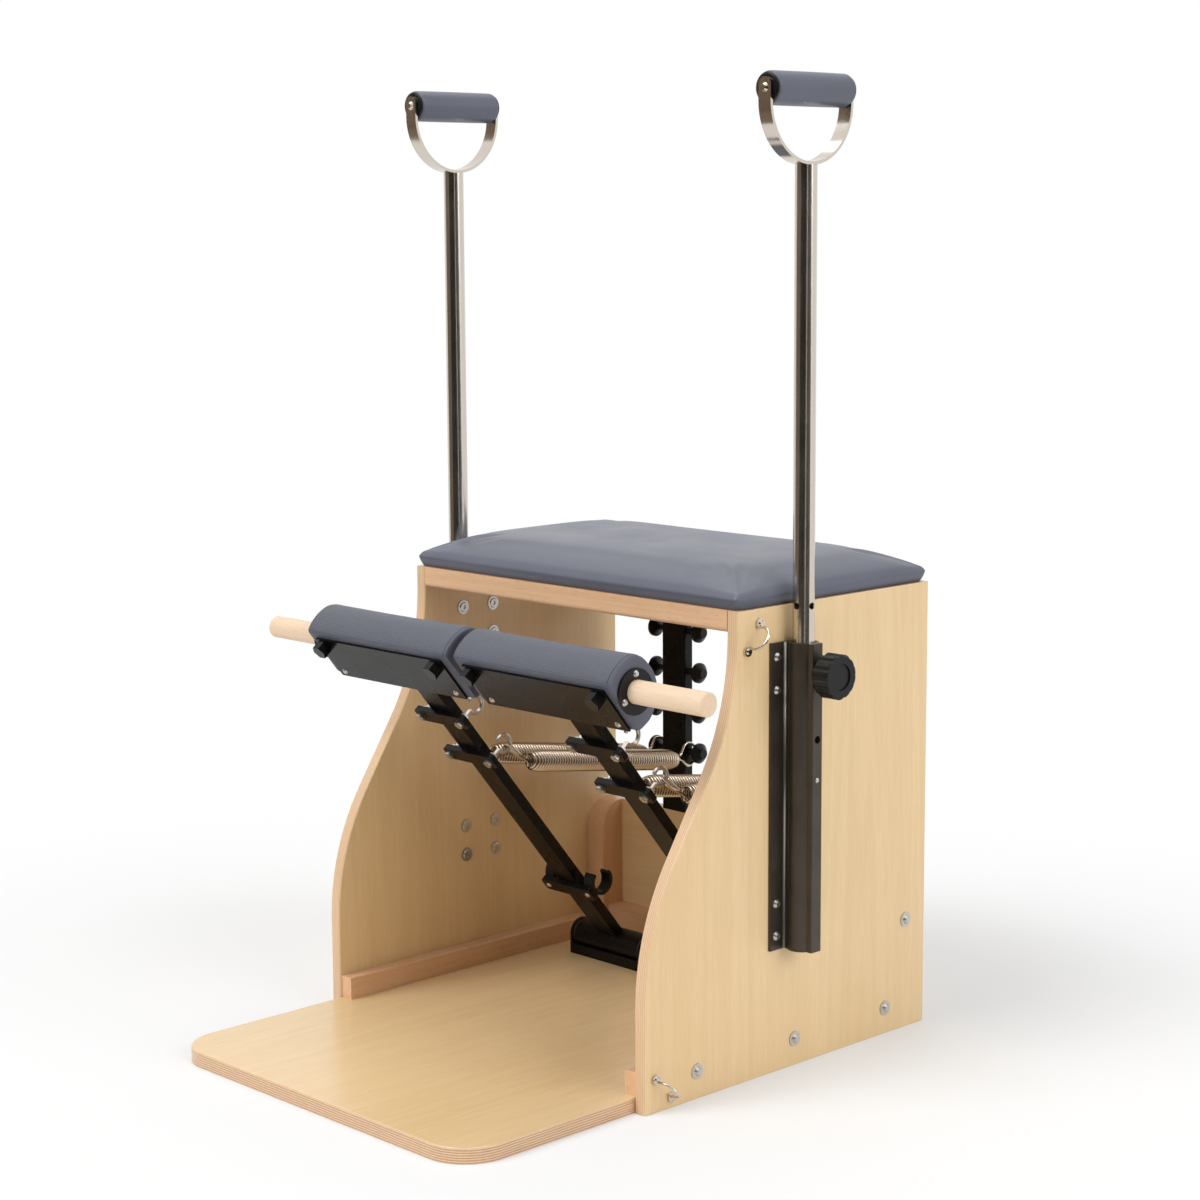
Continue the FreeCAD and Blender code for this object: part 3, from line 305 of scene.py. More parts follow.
class Sheet:
    """A material's node sheet, with helpers named for what they paint."""

    # The numbers of a colour Mix node's Factor, A and B sockets, and of its Result.
    MIX_INPUTS = (0, 6, 7)
    MIX_RESULT = 2

    def __init__(self, name: str) -> None:
        """Starts a sheet with its surface shader in place.

        Args:
            name: The material's name.
        """
        self.material = bpy.data.materials.new(name)
        self.material.use_nodes = True
        self.tree = self.material.node_tree
        self.shader = next(node for node in self.tree.nodes if node.type == "BSDF_PRINCIPLED")
        self.where = self.node("ShaderNodeTexCoord")

    def node(self, kind: str, inputs: Optional[dict] = None, **settings: Any) -> bpy.types.Node:
        """Adds a node.

        Args:
            kind: Blender's name for the node.
            inputs: Values or sockets for its inputs, by name or number.
            **settings: Its own settings.

        Returns:
            The node.
        """
        made = self.tree.nodes.new(kind)
        for key, value in settings.items():
            setattr(made, key, value)
        for key, value in (inputs or {}).items():
            self.feed(made.inputs[key], value)
        return made

    def feed(self, socket: bpy.types.NodeSocket, value: Any) -> None:
        """Links a socket to an input, or sets the input's value.

        Args:
            socket: The input.
            value: A socket, or a value. A colour of three shares is made opaque.
        """
        if isinstance(value, bpy.types.NodeSocket):
            self.tree.links.new(value, socket)
        elif isinstance(value, tuple) and len(value) == 3:
            socket.default_value = (*value, 1.0)
        else:
            socket.default_value = value

    def sum(self, kind: str, *terms: Any, clamp: bool = False) -> bpy.types.NodeSocket:
        """Works out one sum of numbers or sockets."""
        made = self.node("ShaderNodeMath", dict(enumerate(terms)), operation=kind, use_clamp=clamp)
        return made.outputs[0]

    def drawn(self, along: Axis, share: float) -> bpy.types.NodeSocket:
        """Object coordinates squeezed along one axis, so that marks run long in it.

        Args:
            along: The axis.
            share: How far it is squeezed.

        Returns:
            The coordinates.
        """
        scale = [1.0, 1.0, 1.0]
        scale[along.value] = share
        inputs = {"Vector": self.where.outputs["Object"], "Scale": scale}
        return self.node("ShaderNodeMapping", inputs).outputs[0]

    def noise(self, vector: bpy.types.NodeSocket, scale: float, detail: float = 2.0, rough: float = 0.5,
              bend: float = 0.0) -> bpy.types.NodeSocket:
        """A cloudy value between 0 and 1."""
        return self.node("ShaderNodeTexNoise", {"Vector": vector, "Scale": scale, "Detail": detail,
                                                "Roughness": rough, "Distortion": bend}).outputs[0]

    def mix(self, share: Any, first: Any, second: Any) -> bpy.types.NodeSocket:
        """Mixes two colours."""
        inputs = dict(zip(self.MIX_INPUTS, (share, first, second)))
        return self.node("ShaderNodeMix", inputs, data_type="RGBA").outputs[self.MIX_RESULT]

    def spread(self, value: bpy.types.NodeSocket, low: float, high: float, to_low: float,
               to_high: float) -> bpy.types.NodeSocket:
        """Maps a value from one range onto another, held at its ends."""
        return self.node("ShaderNodeMapRange", {0: value, 1: low, 2: high, 3: to_low, 4: to_high}).outputs[0]

    def relief(self, height: bpy.types.NodeSocket, depth: float, strength: float = 1.0) -> None:
        """Raises the surface by a height of up to depth metres, in the light only."""
        bump = self.node("ShaderNodeBump", {"Height": height, "Distance": depth, "Strength": strength})
        self.tree.links.new(bump.outputs[0], self.shader.inputs["Normal"])

    def set(self, **values: Any) -> None:
        """Sets or links the shader's inputs, with _ for a space in their names."""
        for key, value in values.items():
            self.feed(self.shader.inputs[key.replace("_", " ")], value)

    def blurred(self, value: bpy.types.NodeSocket, roughness: float, less: float, more: float,
                span: tuple[float, float] = NOISE_SPAN) -> None:
        """Varies the shader's roughness with a noise, from less below to more above the finish's own."""
        self.set(Roughness=self.spread(value, *span, roughness - less, roughness + more))


@dataclass(frozen=True)
class Wood:
    """Lacquered wood: fibres and growth lines along the grain, flecks, and layers on plywood's edges."""

    name: str
    pale: Colour
    dark: Colour
    grain: Axis
    figure: float = 0.1
    fleck: float = 0.0
    roughness: float = 0.42
    lacquer: float = 0.35
    ply: Optional[Axis] = None
    ply_pale: Colour = tint(226, 196, 158)
    ply_dark: Colour = tint(178, 132, 98)
    layer: float = 1.55
    layer_span: tuple[float, float] = (0.35, 0.65)
    layer_tones: tuple[float, float] = (0.1, 0.85)
    layer_fibre: tuple[float, float] = (-0.15, 0.2)
    wander: float = 0.35
    wander_scale: float = 14.0
    edge_span: tuple[float, float] = (0.55, 0.85)
    stretch: float = 0.045
    figure_scale: float = 9.0
    figure_tones: tuple[float, float] = (0.2, 0.5)
    ring_rate: float = 62.0
    fibre_scale: float = 460.0
    fibre_tones: tuple[float, float] = (-0.12, 0.28)
    fibre_span: tuple[float, float] = (0.2, 0.8)
    fibre_depth: float = 0.0002
    fleck_stretch: float = 0.13
    fleck_scale: float = 330.0
    fleck_span: tuple[float, float] = (0.1, 0.26)
    fleck_shade: float = 0.55
    lacquer_blur: float = 0.18

    def material(self) -> bpy.types.Material:
        """Paints the wood.

        Returns:
            Its material.
        """
        sheet = Sheet(self.name)
        long = sheet.drawn(self.grain, self.stretch)
        broad = sheet.noise(long, self.figure_scale, detail=3.0, rough=0.55, bend=0.4)
        fibre = sheet.noise(long, self.fibre_scale, detail=5.0, rough=0.65)
        rings = sheet.sum("SINE", sheet.sum("MULTIPLY", broad, self.ring_rate))
        tone = sheet.sum("MULTIPLY_ADD", rings, self.figure,
                         sheet.spread(broad, *NOISE_SPAN, *self.figure_tones))
        tone = sheet.sum("ADD", tone, sheet.spread(fibre, *NOISE_SPAN, *self.fibre_tones), clamp=True)
        colour = sheet.mix(tone, self.pale, self.dark)
        if self.fleck:
            short = sheet.drawn(self.grain, self.fleck_stretch)
            specks = sheet.node("ShaderNodeTexVoronoi", {"Vector": short, "Scale": self.fleck_scale})
            share = sheet.spread(specks.outputs["Distance"], *self.fleck_span, self.fleck, 0.0)
            colour = sheet.mix(share, colour, tuple(self.fleck_shade * part for part in self.dark))
        if self.ply is not None:
            colour = sheet.mix(self.edge(sheet), colour, self.layers(sheet, fibre))
        sheet.set(Base_Color=colour, Coat_Weight=self.lacquer, Coat_Roughness=self.lacquer_blur)
        sheet.blurred(fibre, self.roughness, less=0.05, more=0.1, span=self.fibre_span)
        sheet.relief(fibre, self.fibre_depth, strength=0.35)
        return sheet.material

    def edge(self, sheet: Sheet) -> bpy.types.NodeSocket:
        """Tells a board's sawn edges from its faces by which way the surface looks.

        Args:
            sheet: The sheet to draw on.

        Returns:
            1 on an edge and 0 on a face.
        """
        parts = sheet.node("ShaderNodeSeparateXYZ", {0: sheet.where.outputs["Normal"]})
        facing = sheet.sum("ABSOLUTE", parts.outputs[self.ply.value])
        return sheet.spread(facing, *self.edge_span, 1.0, 0.0)

    def layers(self, sheet: Sheet, fibre: bpy.types.NodeSocket) -> bpy.types.NodeSocket:
        """Paints a plywood edge: plies in turn pale and dark, wandering a little.

        Args:
            sheet: The sheet to draw on.
            fibre: The wood's fibres.

        Returns:
            The edge's colour.
        """
        place = sheet.where.outputs["Object"]
        parts = sheet.node("ShaderNodeSeparateXYZ", {0: place})
        wander = sheet.sum("MULTIPLY", sheet.noise(place, self.wander_scale), self.wander)
        level = sheet.sum("MULTIPLY_ADD", parts.outputs[self.ply.value], 1.0 / (self.layer * MM), wander)
        turn = sheet.sum("PINGPONG", level, 1.0)
        share = sheet.spread(turn, *self.layer_span, *self.layer_tones)
        share = sheet.sum("ADD", share, sheet.spread(fibre, *NOISE_SPAN, *self.layer_fibre), clamp=True)
        return sheet.mix(share, self.ply_pale, self.ply_dark)


@dataclass(frozen=True)
class Vinyl:
    """Upholstery vinyl with a fine leather grain, or embossed with rows of dots whose hollows carry painted
    shade.
    """

    name: str
    colour: Colour
    roughness: float = 0.4
    dot_pitch: float = 0.0
    dot_limit: float = 0.0
    dot_edge: float = 1.0
    dot_depth: float = 0.0007
    dot_span: tuple[float, float] = (0.0, 0.6)
    dot_painted_shade_share: float = 0.42
    dot_painted_shade_tone: float = 0.45
    dot_grain: float = 0.25
    grain_scale: float = 780.0
    grain_depth: float = 0.00022
    pore_scale: float = 1500.0
    pore_share: float = 0.35
    cloud_scale: float = 11.0
    cloud_shades: tuple[float, float] = (0.93, 1.07)
    specular: float = 0.45

    def material(self) -> bpy.types.Material:
        """Paints the vinyl.

        Returns:
            Its material.
        """
        sheet = Sheet(self.name)
        place = sheet.where.outputs["Object"]
        cells = sheet.node("ShaderNodeTexVoronoi", {"Vector": place, "Scale": self.grain_scale},
                           feature="SMOOTH_F1")
        cloud = sheet.noise(place, self.cloud_scale, detail=3.0)
        pores = sheet.noise(place, self.pore_scale)
        height = sheet.sum("MULTIPLY_ADD", pores, self.pore_share, cells.outputs["Distance"])
        depth = self.grain_depth
        shades = (tuple(shade * part for part in self.colour) for shade in self.cloud_shades)
        colour = sheet.mix(sheet.spread(cloud, *NOISE_SPAN, 0.0, 1.0), *shades)
        if self.dot_pitch:
            dots, inside = self.dots(sheet)
            height = sheet.sum("ADD", sheet.sum("MULTIPLY", dots, inside),
                               sheet.sum("MULTIPLY", height, self.dot_grain))
            depth = self.dot_depth
            # Painted shade: the dots' hollows are mixed towards a darker copy of the vinyl's colour.
            sunk = sheet.sum("MULTIPLY", sheet.spread(dots, *self.dot_span, self.dot_painted_shade_share, 0.0), inside)
            colour = sheet.mix(sunk, colour, tuple(self.dot_painted_shade_tone * part for part in self.colour))
        sheet.set(Base_Color=colour, Specular_IOR_Level=self.specular)
        sheet.blurred(cloud, self.roughness, less=0.05, more=0.06)
        sheet.relief(height, depth, strength=0.7)
        return sheet.material

    def dots(self, sheet: Sheet) -> tuple[bpy.types.NodeSocket, bpy.types.NodeSocket]:
        """Rows of embossed dots on the cover's own lines, and where they stop short of the end seams.

        Args:
            sheet: The sheet to draw on.

        Returns:
            The dots' height, |sin u| |sin v|, and 1 inside the seams or 0 past them.
        """
        parts = sheet.node("ShaderNodeSeparateXYZ", {0: sheet.where.outputs["UV"]})
        rate = math.pi / (self.dot_pitch * MM)
        waves = [sheet.sum("ABSOLUTE", sheet.sum("SINE", sheet.sum("MULTIPLY", parts.outputs[number], rate)))
                 for number in (0, 1)]
        reach = sheet.sum("ABSOLUTE", parts.outputs[0])
        inside = sheet.spread(reach, (self.dot_limit - self.dot_edge) * MM, self.dot_limit * MM, 1.0, 0.0)
        return sheet.sum("MULTIPLY", *waves), inside


@dataclass(frozen=True)
class Metal:
    """Bare or plated metal with fine drawing marks along one axis."""

    name: str
    colour: Colour
    roughness: float
    drawn: Axis = Axis.Z
    marks: float = 0.05
    stretch: float = 0.02
    mark_scale: float = 900.0
    mark_depth: float = 0.00002
    cloud_scale: float = 30.0
    cloud_blur: float = 0.05

    def material(self) -> bpy.types.Material:
        """Paints the metal.

        Returns:
            Its material.
        """
        sheet = Sheet(self.name)
        streaks = sheet.noise(sheet.drawn(self.drawn, self.stretch), self.mark_scale, detail=3.0, rough=0.6)
        cloud = sheet.noise(sheet.where.outputs["Object"], self.cloud_scale, detail=3.0)
        blur = sheet.sum("ADD", sheet.spread(cloud, *NOISE_SPAN, 0.0, self.cloud_blur),
                         sheet.spread(streaks, *NOISE_SPAN, self.roughness, self.roughness + self.marks))
        sheet.set(Base_Color=self.colour, Metallic=1.0, Roughness=blur)
        sheet.relief(streaks, self.mark_depth, strength=0.25)
        return sheet.material


@dataclass(frozen=True)
class Coating:
    """An even dark finish: powder coat, anodising, moulded plastic, rubber or thread."""

    name: str
    colour: Colour
    roughness: float
    grit: float
    depth: float = 0.00006
    metallic: float = 0.0
    specular: float = 0.5
    cloud_scale: float = 16.0
    cloud_span: tuple[float, float] = (0.35, 0.75)
    worn_share: float = 1.35
    worn_lift: float = 0.002

    def material(self) -> bpy.types.Material:
        """Paints the coating.

        Returns:
            Its material.
        """
        sheet = Sheet(self.name)
        place = sheet.where.outputs["Object"]
        grain = sheet.noise(place, self.grit, detail=3.0, rough=0.6)
        cloud = sheet.noise(place, self.cloud_scale, detail=4.0, rough=0.6)
        colour = sheet.mix(sheet.spread(cloud, *self.cloud_span, 0.0, 1.0), self.colour,
                           tuple(self.worn_share * part + self.worn_lift for part in self.colour))
        sheet.set(Base_Color=colour, Metallic=self.metallic, Specular_IOR_Level=self.specular)
        sheet.blurred(cloud, self.roughness, less=0.05, more=0.07)
        sheet.relief(grain, self.depth, strength=0.5)
        return sheet.material


MAPLE_PALE, MAPLE_DARK = tint(233, 204, 158), tint(217, 183, 132)
BEECH_PALE, BEECH_DARK = tint(231, 190, 150), tint(206, 158, 116)


class Finish(Enum):
    """Every finish on the chair."""

    PANEL = Wood("maple_panel", MAPLE_PALE, MAPLE_DARK, Axis.Z, ply=Axis.X, ply_dark=tint(206, 166, 128))
    BASE = Wood("maple_base", MAPLE_PALE, MAPLE_DARK, Axis.Y, roughness=0.34, ply=Axis.Z)
    REAR = Wood("maple_rear", MAPLE_PALE, MAPLE_DARK, Axis.X, ply=Axis.Y)
    RAIL = Wood("beech_rail", BEECH_PALE, BEECH_DARK, Axis.X, fleck=0.3)
    CLEAT = Wood("beech_cleat", BEECH_PALE, BEECH_DARK, Axis.Y, fleck=0.3)
    BATTEN = Wood("beech_batten", BEECH_PALE, BEECH_DARK, Axis.Z, fleck=0.3)
    DOWEL = Wood("beech_dowel", tint(233, 209, 182), tint(216, 185, 152), Axis.X, fleck=0.25, roughness=0.5,
                 lacquer=0.0)
    CORE = Wood("plain_core", tint(206, 174, 132), tint(176, 140, 98), Axis.X, roughness=0.6, lacquer=0.0)
    VINYL = Vinyl("grey_vinyl", tint(87, 90, 103), roughness=0.36)
    # The pads' vinyl is the seat's vinyl painted a little darker: painted shade for the stronger light that
    # falls on the pads.
    DOTTED = Vinyl("dotted_vinyl", tint(83, 86, 98), roughness=0.46, dot_pitch=3.0, dot_limit=138.4)
    THREAD = Coating("sewing_thread", tint(70, 73, 84), 0.75, 2600.0)
    STEEL = Coating("powder_coat", tint(12, 11, 10), 0.27, 1500.0, 0.00003, specular=0.16)
    BRACKET = Coating("bronze_anodised", tint(66, 59, 51), 0.33, 900.0, 0.00002, 0.55)
    PLASTIC = Coating("moulded_plastic", tint(18, 17, 17), 0.3, 2200.0, specular=0.22)
    RUBBER = Coating("glossy_rubber", tint(6, 6, 7), 0.12, 700.0, 0.00002, specular=0.2)
    NYLON = Coating("black_nylon", tint(38, 38, 38), 0.5, 1800.0)
    # The pole, strap and spring wire are tinted warmer and darker than bare plating: painted reflection of
    # the surrounding wood.
    POLE = Metal("polished_pole", (0.62, 0.57, 0.51), 0.14)
    STRAP = Metal("polished_strap", (0.64, 0.58, 0.51), 0.1)
    SPRING = Metal("spring_wire", (0.6, 0.52, 0.42), 0.1, Axis.Y, 0.05)
    ZINC = Metal("zinc_plate", (0.56, 0.54, 0.5), 0.26)
    # A paler metal than the bracket's: the painted highlight in the bracket's hollow corners.
    CORNER = Metal("highlight_bronze", (0.33, 0.31, 0.28), 0.28)

    def dress(self, piece: bpy.types.Object) -> None:
        """Puts this finish on a piece, in place of what it wore.

        Args:
            piece: A new piece or a frame node.
        """
        painted = bpy.data.materials.get(self.value.name) or self.value.material()
        piece.data.materials.clear()
        piece.data.materials.append(painted)


# Upholstery


@dataclass(frozen=True)
class Stuffing:
    """How a padded cover is blown up against its filling."""

    pressure: float
    most: float
    frames: int = 18
    quality: int = 6
    mass: float = 0.35
    bending: float = 2.0

    def fill(self, piece: bpy.types.Object, held: np.ndarray) -> None:
        """Lets cloth settle over the filling, with the held points sewn or stapled down.

        A point moves by most tanh(d / most), where d is how far the cloth carried it.

        Args:
            piece: The cover, as a closed mesh.
            held: Which points don't move.
        """
        rest = coordinates(piece.data)
        group = piece.vertex_groups.new(name="held")
        group.add(np.flatnonzero(held).tolist(), 1.0, "REPLACE")
        cloth = piece.modifiers.new("cloth", "CLOTH")
        cloth.settings.vertex_group_mass = group.name
        cloth.settings.use_pressure = True
        cloth.settings.uniform_pressure_force = self.pressure
        cloth.settings.quality = self.quality
        cloth.settings.mass = self.mass
        cloth.settings.bending_stiffness = self.bending
        cloth.settings.effector_weights.gravity = 0.0
        cloth.point_cache.frame_start = 1
        cloth.point_cache.frame_end = self.frames
        scene = bpy.context.scene
        for number in range(1, self.frames + 1):
            scene.frame_set(number)
        settled = coordinates(piece.evaluated_get(bpy.context.evaluated_depsgraph_get()).data)
        piece.modifiers.remove(cloth)
        piece.vertex_groups.remove(group)
        scene.frame_set(1)
        moved = settled - rest
        far = np.maximum(np.linalg.norm(moved, axis=1, keepdims=True), 1e-9)
        most = self.most * MM
        piece.data.vertices.foreach_set("co", (rest + moved / far * most * np.tanh(far / most)).ravel())
        piece.data.update()


@dataclass
class SeatCushion:
    """The seat: vinyl drawn over crowned foam and stapled under a board."""

    half_width: float = 309.0
    front: float = 33.5
    rear: float = 408.0
    foot: float = 610.0
    crease: float = 624.0
    edge: float = 7.0
    crown: float = 25.0
    reach: float = 150.0
    corner: float = 9.0
    draw_in: float = 5.0
    steepness: float = 5.5
    belly: float = 0.8
    clear: float = 0.3
    held: float = 0.4
    crowding: float = 1.3
    columns: int = 130
    rows: int = 84
    levels: int = 7
    stuffing: Stuffing = Stuffing(pressure=3.0, most=2.5)

    @property
    def half(self) -> np.ndarray:
        """Half the seat's width and half its depth."""
        return np.array([self.half_width, (self.rear - self.front) / 2])

    def outline(self) -> tuple[np.ndarray, np.ndarray]:
        """A grid over the seat, closer together near its sides, with its corners rounded.

        In a corner square the greater of the two reaches becomes the distance from the corner's centre.

        Returns:
            The x and y of each grid point about the seat's middle.
        """
        axes = [np.sin(np.linspace(-1, 1, count) * self.crowding) / math.sin(self.crowding) * size
                for count, size in zip((self.columns, self.rows), self.half)]
        x, y = np.meshgrid(*axes, indexing="ij")
        over = np.maximum(np.abs(np.stack([x, y])) - (self.half - self.corner)[:, None, None], 0.0)
        length = np.maximum(np.linalg.norm(over, axis=0), 1e-9)
        trimmed = over * over.max(axis=0) / length
        return x - np.sign(x) * (over - trimmed)[0], y - np.sign(y) * (over - trimmed)[1]

    def rise(self, x: np.ndarray, y: np.ndarray) -> np.ndarray:
        """The crown's height: a round edge, then a slope that eases to a level top and low corners.

        The edge is a quarter circle over the distance from the rounded outline. The crown is the
        product of 1 - e^(-steepness s) both ways, where s is the share of the reach from a side.

        Args:
            x: Places across the seat.
            y: Places along it, from its middle.

        Returns:
            The heights above the crease.
        """
        inset = self.half[:, None, None] - np.abs(np.stack([x, y]))
        over = self.corner - inset
        outside = np.linalg.norm(np.maximum(over, 0.0), axis=0) + np.minimum(over.max(axis=0), 0.0)
        rim = np.clip((self.corner - outside) / self.edge, 0.0, 1.0)
        swell = np.prod(1 - np.exp(-self.steepness * np.maximum(inset, 0.0) / self.reach), axis=0)
        return self.edge * np.sqrt(1 - (1 - rim) ** 2) + self.crown * swell

    def build(self) -> bpy.types.Object:
        """Makes the cushion: a crowned top, a side band that leans in at its foot, and a flat underside.

        A share d of the way down, the band lies at top (1 - d) + foot d, swollen outwards by
        belly sin(pi d).

        Returns:
            The cushion.
        """
        x, y = self.outline()
        middle = (self.front + self.rear) / 2
        top = np.stack([x, y + middle, self.crease + self.rise(x, y)], -1)
        shrink = 1 - self.draw_in / self.half
        under = np.stack([x * shrink[0], y * shrink[1] + middle, np.full_like(x, self.foot + self.clear)], -1)
        numbers = np.arange(x.size).reshape(x.shape)
        rim = np.concatenate([numbers[:-1, 0], numbers[-1, :-1], numbers[:0:-1, -1], numbers[0, :0:-1]])
        down = np.linspace(0, 1, self.levels + 2)[1:-1, None, None]
        high, low = top.reshape(-1, 3)[rim], under.reshape(-1, 3)[rim]
        swell = np.sin(math.pi * down) * self.belly * unit((high - [0, middle, 0]) * [1, 1, 0])
        band = high * (1 - down) + low * down + swell
        points = np.vstack([top.reshape(-1, 3), under.reshape(-1, 3), band.reshape(-1, 3)])
        flat, _ = lattice(*x.shape, False, False)
        between = 2 * x.size + np.arange(band.shape[0] * len(rim)).reshape(-1, len(rim))
        loops = np.vstack([rim, between, rim + x.size])
        ways, _ = lattice(len(loops), len(rim), False, True)
        sides = loops.ravel()[ways]
        piece = make_piece("seat_cushion_cover", points, np.vstack([flat, flat + x.size, sides]).tolist())
        height = coordinates(piece.data)[:, 2]
        self.stuffing.fill(piece, height < (self.crease + self.held) * MM)
        subdivide(piece)
        return piece

    def dress(self) -> None:
        """Builds the cushion, covers it and sets it in place of the plain solid."""
        piece = self.build()
        Finish.VINYL.dress(piece)
        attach(piece, "cabinet")
        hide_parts("seat_cushion")
        LOG.info("seat cushion: %d points", len(piece.data.vertices))


@dataclass(frozen=True)
class PedalFrame:
    """Where a pedal's upright drawing stands on the chair: x across, y to the arm's rear, z along it."""

    spread: float = 150.0
    pivot_y: float = 267.5
    pivot_z: float = 48.0
    lean: float = 39.6
    dowel: float = 625.5

    def place(self, points: np.ndarray, side: Side) -> np.ndarray:
        """Leans upright points forward about the pivot and sets them on one side of the chair.

        At the lean a, a point comes y cos a - z sin a behind the pivot and y sin a + z cos a above it.

        Args:
            points: Points of the upright drawing.
            side: The pedal's side.

        Returns:
            Their places on the chair.
        """
        cosine, sine = math.cos(math.radians(self.lean)), math.sin(math.radians(self.lean))
        x, y, z = np.moveaxis(points, -1, 0)
        return np.stack([side.value * self.spread + x, self.pivot_y + y * cosine - z * sine,
                         self.pivot_z + y * sine + z * cosine], -1)


PEDAL = PedalFrame()


@dataclass
class PedalPads:
    """Both pedal pads: a D-shaped roll of dotted vinyl with plain end panels sewn on.

    The outline is given about the dowel, as (y, z): the flat front's two ends, then the middle and the end
    of each arc in turn. An end row is (in from the pad's end, share out from the bore, inset), and a seam
    row is (in from the seam, inset).
    """

    flat: tuple[tuple[float, float], ...] = ((-26.0, -46.0), (-26.0, 39.0))
    arcs: tuple[tuple[float, float], ...] = (
        (-2.0, 44.5), (23.0, 40.0), (34.0, 30.0), (40.0, 11.0),
        (39.0, -13.0), (30.0, -30.0), (14.0, -43.0), (-6.0, -49.0))
    flat_held: float = -24.0
    end_rows: tuple[tuple[float, float, float], ...] = (
        (1.5, 0.0, 0.0), (0.0, 0.04, 0.0), (0.0, 0.25, 0.0), (0.0, 0.5, 0.0), (0.0, 0.75, 0.0),
        (0.0, 1.0, 4.0), (0.4, 1.0, 2.6), (1.3, 1.0, 1.5), (2.4, 1.0, 1.1))
    seam_rows: tuple[tuple[float, float], ...] = ((-0.5, 1.3), (0.0, 2.8), (0.5, 1.3), (1.2, 0.5), (3.0, 0.3))
    cover_row: tuple[float, float, float] = (12.0, 1.0, 0.3)
    cover_start: float = 18.0
    cover_inset: float = 0.4
    half: float = 143.0
    bore: float = 15.6
    corner: float = 3.2
    seam: float = 3.8
    seam_held: float = 0.1
    columns: int = 132
    spacing: float = 5.0
    samples: int = 1024
    stitch: float = 4.2
    stitch_share: float = 0.8
    stitch_span: tuple[float, float] = (0.08, 0.92)
    stitch_tip: float = 0.25
    stitch_steps: int = 5
    stitch_sides: int = 6
    stitch_from: float = -22.0
    thread: float = 0.55
    thread_out: float = 0.35
    stuffing: Stuffing = Stuffing(pressure=4.0, most=1.2)

    def section(self) -> np.ndarray:
        """The roll's outline about the dowel, as (y, z): a flat front and four arcs, its corners eased.

        The outline is sampled closely, smoothed round its length by a bell curve as wide as the
        corner, and divided evenly.

        Returns:
            The outline's points.
        """
        front = np.array(self.flat)
        knots = np.vstack([front[1:], self.arcs])
        bends = [self.arc(*knots[number:number + 3]) for number in range(0, len(knots) - 1, 2)]
        runs = [straight(front[0], front[1], count=200), *bends, straight(knots[-1], front[0], count=60)]
        line = self.divide(np.vstack(runs), self.samples)
        length = np.linalg.norm(np.diff(line, axis=0, append=line[:1]), axis=1).sum()
        waves = np.fft.fftfreq(len(line)) * len(line) * 2 * math.pi / length
        bell = np.exp(-0.5 * (waves * self.corner) ** 2)
        soft = np.fft.ifft(np.fft.fft(line[:, 0] + 1j * line[:, 1]) * bell)
        return self.divide(np.stack([soft.real, soft.imag], -1), self.columns)

    @staticmethod
    def arc(start: np.ndarray, middle: np.ndarray, end: np.ndarray, count: int = 160) -> np.ndarray:
        """Points along the circle through three points, without the last.

        Args:
            start: Where the arc starts.
            middle: A point on the way.
            end: Where it ends.
            count: How many points.

        Returns:
            The points.
        """
        rows = 2 * np.array([middle - start, end - start])
        centre = np.linalg.solve(rows, np.array([middle @ middle - start @ start, end @ end - start @ start]))
        angles = np.unwrap([math.atan2(*(point - centre)[::-1]) for point in (start, middle, end)])
        turn = np.linspace(angles[0], angles[2], count, endpoint=False)
        return centre + np.linalg.norm(start - centre) * np.stack([np.cos(turn), np.sin(turn)], -1)

    @staticmethod
    def divide(line: np.ndarray, count: int) -> np.ndarray:
        """Divides a closed line into equal steps."""
        closed = np.vstack([line, line[:1]])
        return stops_on(closed, np.linspace(0, travel(closed)[-1], count, endpoint=False))

    def stations(self) -> np.ndarray:
        """Rows of the cover from the bore's middle out over one end: x, share out from the bore, and inset.

        Returns:
            Every row round the pad, which closes through the bore.
        """
        sewn = [(self.seam + past, 1.0, inset) for past, inset in self.seam_rows]
        rows = np.array([*self.end_rows, *sewn, self.cover_row])
        near = np.vstack([np.zeros(3), rows * [-1, 1, 1] + [self.half, 0, 0]])
        reach = self.half - self.cover_start
        long = np.arange(reach, -reach - 1e-6, -2 * reach / round(2 * reach / self.spacing))
        body = np.stack([long, np.ones_like(long), np.full_like(long, self.cover_inset)], -1)
        far = near[:0:-1] * [-1, 1, 1]
        return np.vstack([near, body, far])

    def build(self) -> tuple[np.ndarray, bpy.types.Object]:
        """Makes one pad in the upright drawing and lets its cover settle.

        A point lies along its spoke of the outline at b (1 - s) + (r - i) s, where b is the bore, r the
        outline's radius, s the row's share and i its inset.

        Returns:
            The cover's points by row and column, and the piece that holds them.
        """
        outline = self.section()
        radius = np.linalg.norm(outline, axis=1, keepdims=True)
        rows = self.stations()
        x, share, inset = (rows[:, number][:, None, None] for number in range(3))
        skin = outline / radius * (self.bore * (1 - share) + (radius - inset) * share)
        points = np.concatenate([np.broadcast_to(x, skin.shape[:2] + (1,)), skin], -1)
        points[..., 2] += PEDAL.dowel
        quads, corners = lattice(len(rows), self.columns, True, True)
        around = np.linalg.norm(np.diff(outline, axis=0), axis=1).mean() * corners[..., 1]
        along = np.append(rows[:, 0], rows[0, 0])[corners[..., 0]]
        piece = make_piece("pad_drawing", points, quads.tolist(), np.stack([along, around], -1) * MM)
        flat = np.broadcast_to(outline[:, 0] < self.flat_held, points.shape[:2])
        sewn = (np.abs(rows[:, 0]) > self.half - self.seam - self.seam_held) | (rows[:, 1] < 1.0)
        self.stuffing.fill(piece, (flat | sewn[:, None]).ravel())
        return coordinates(piece.data).reshape(points.shape) / MM, piece

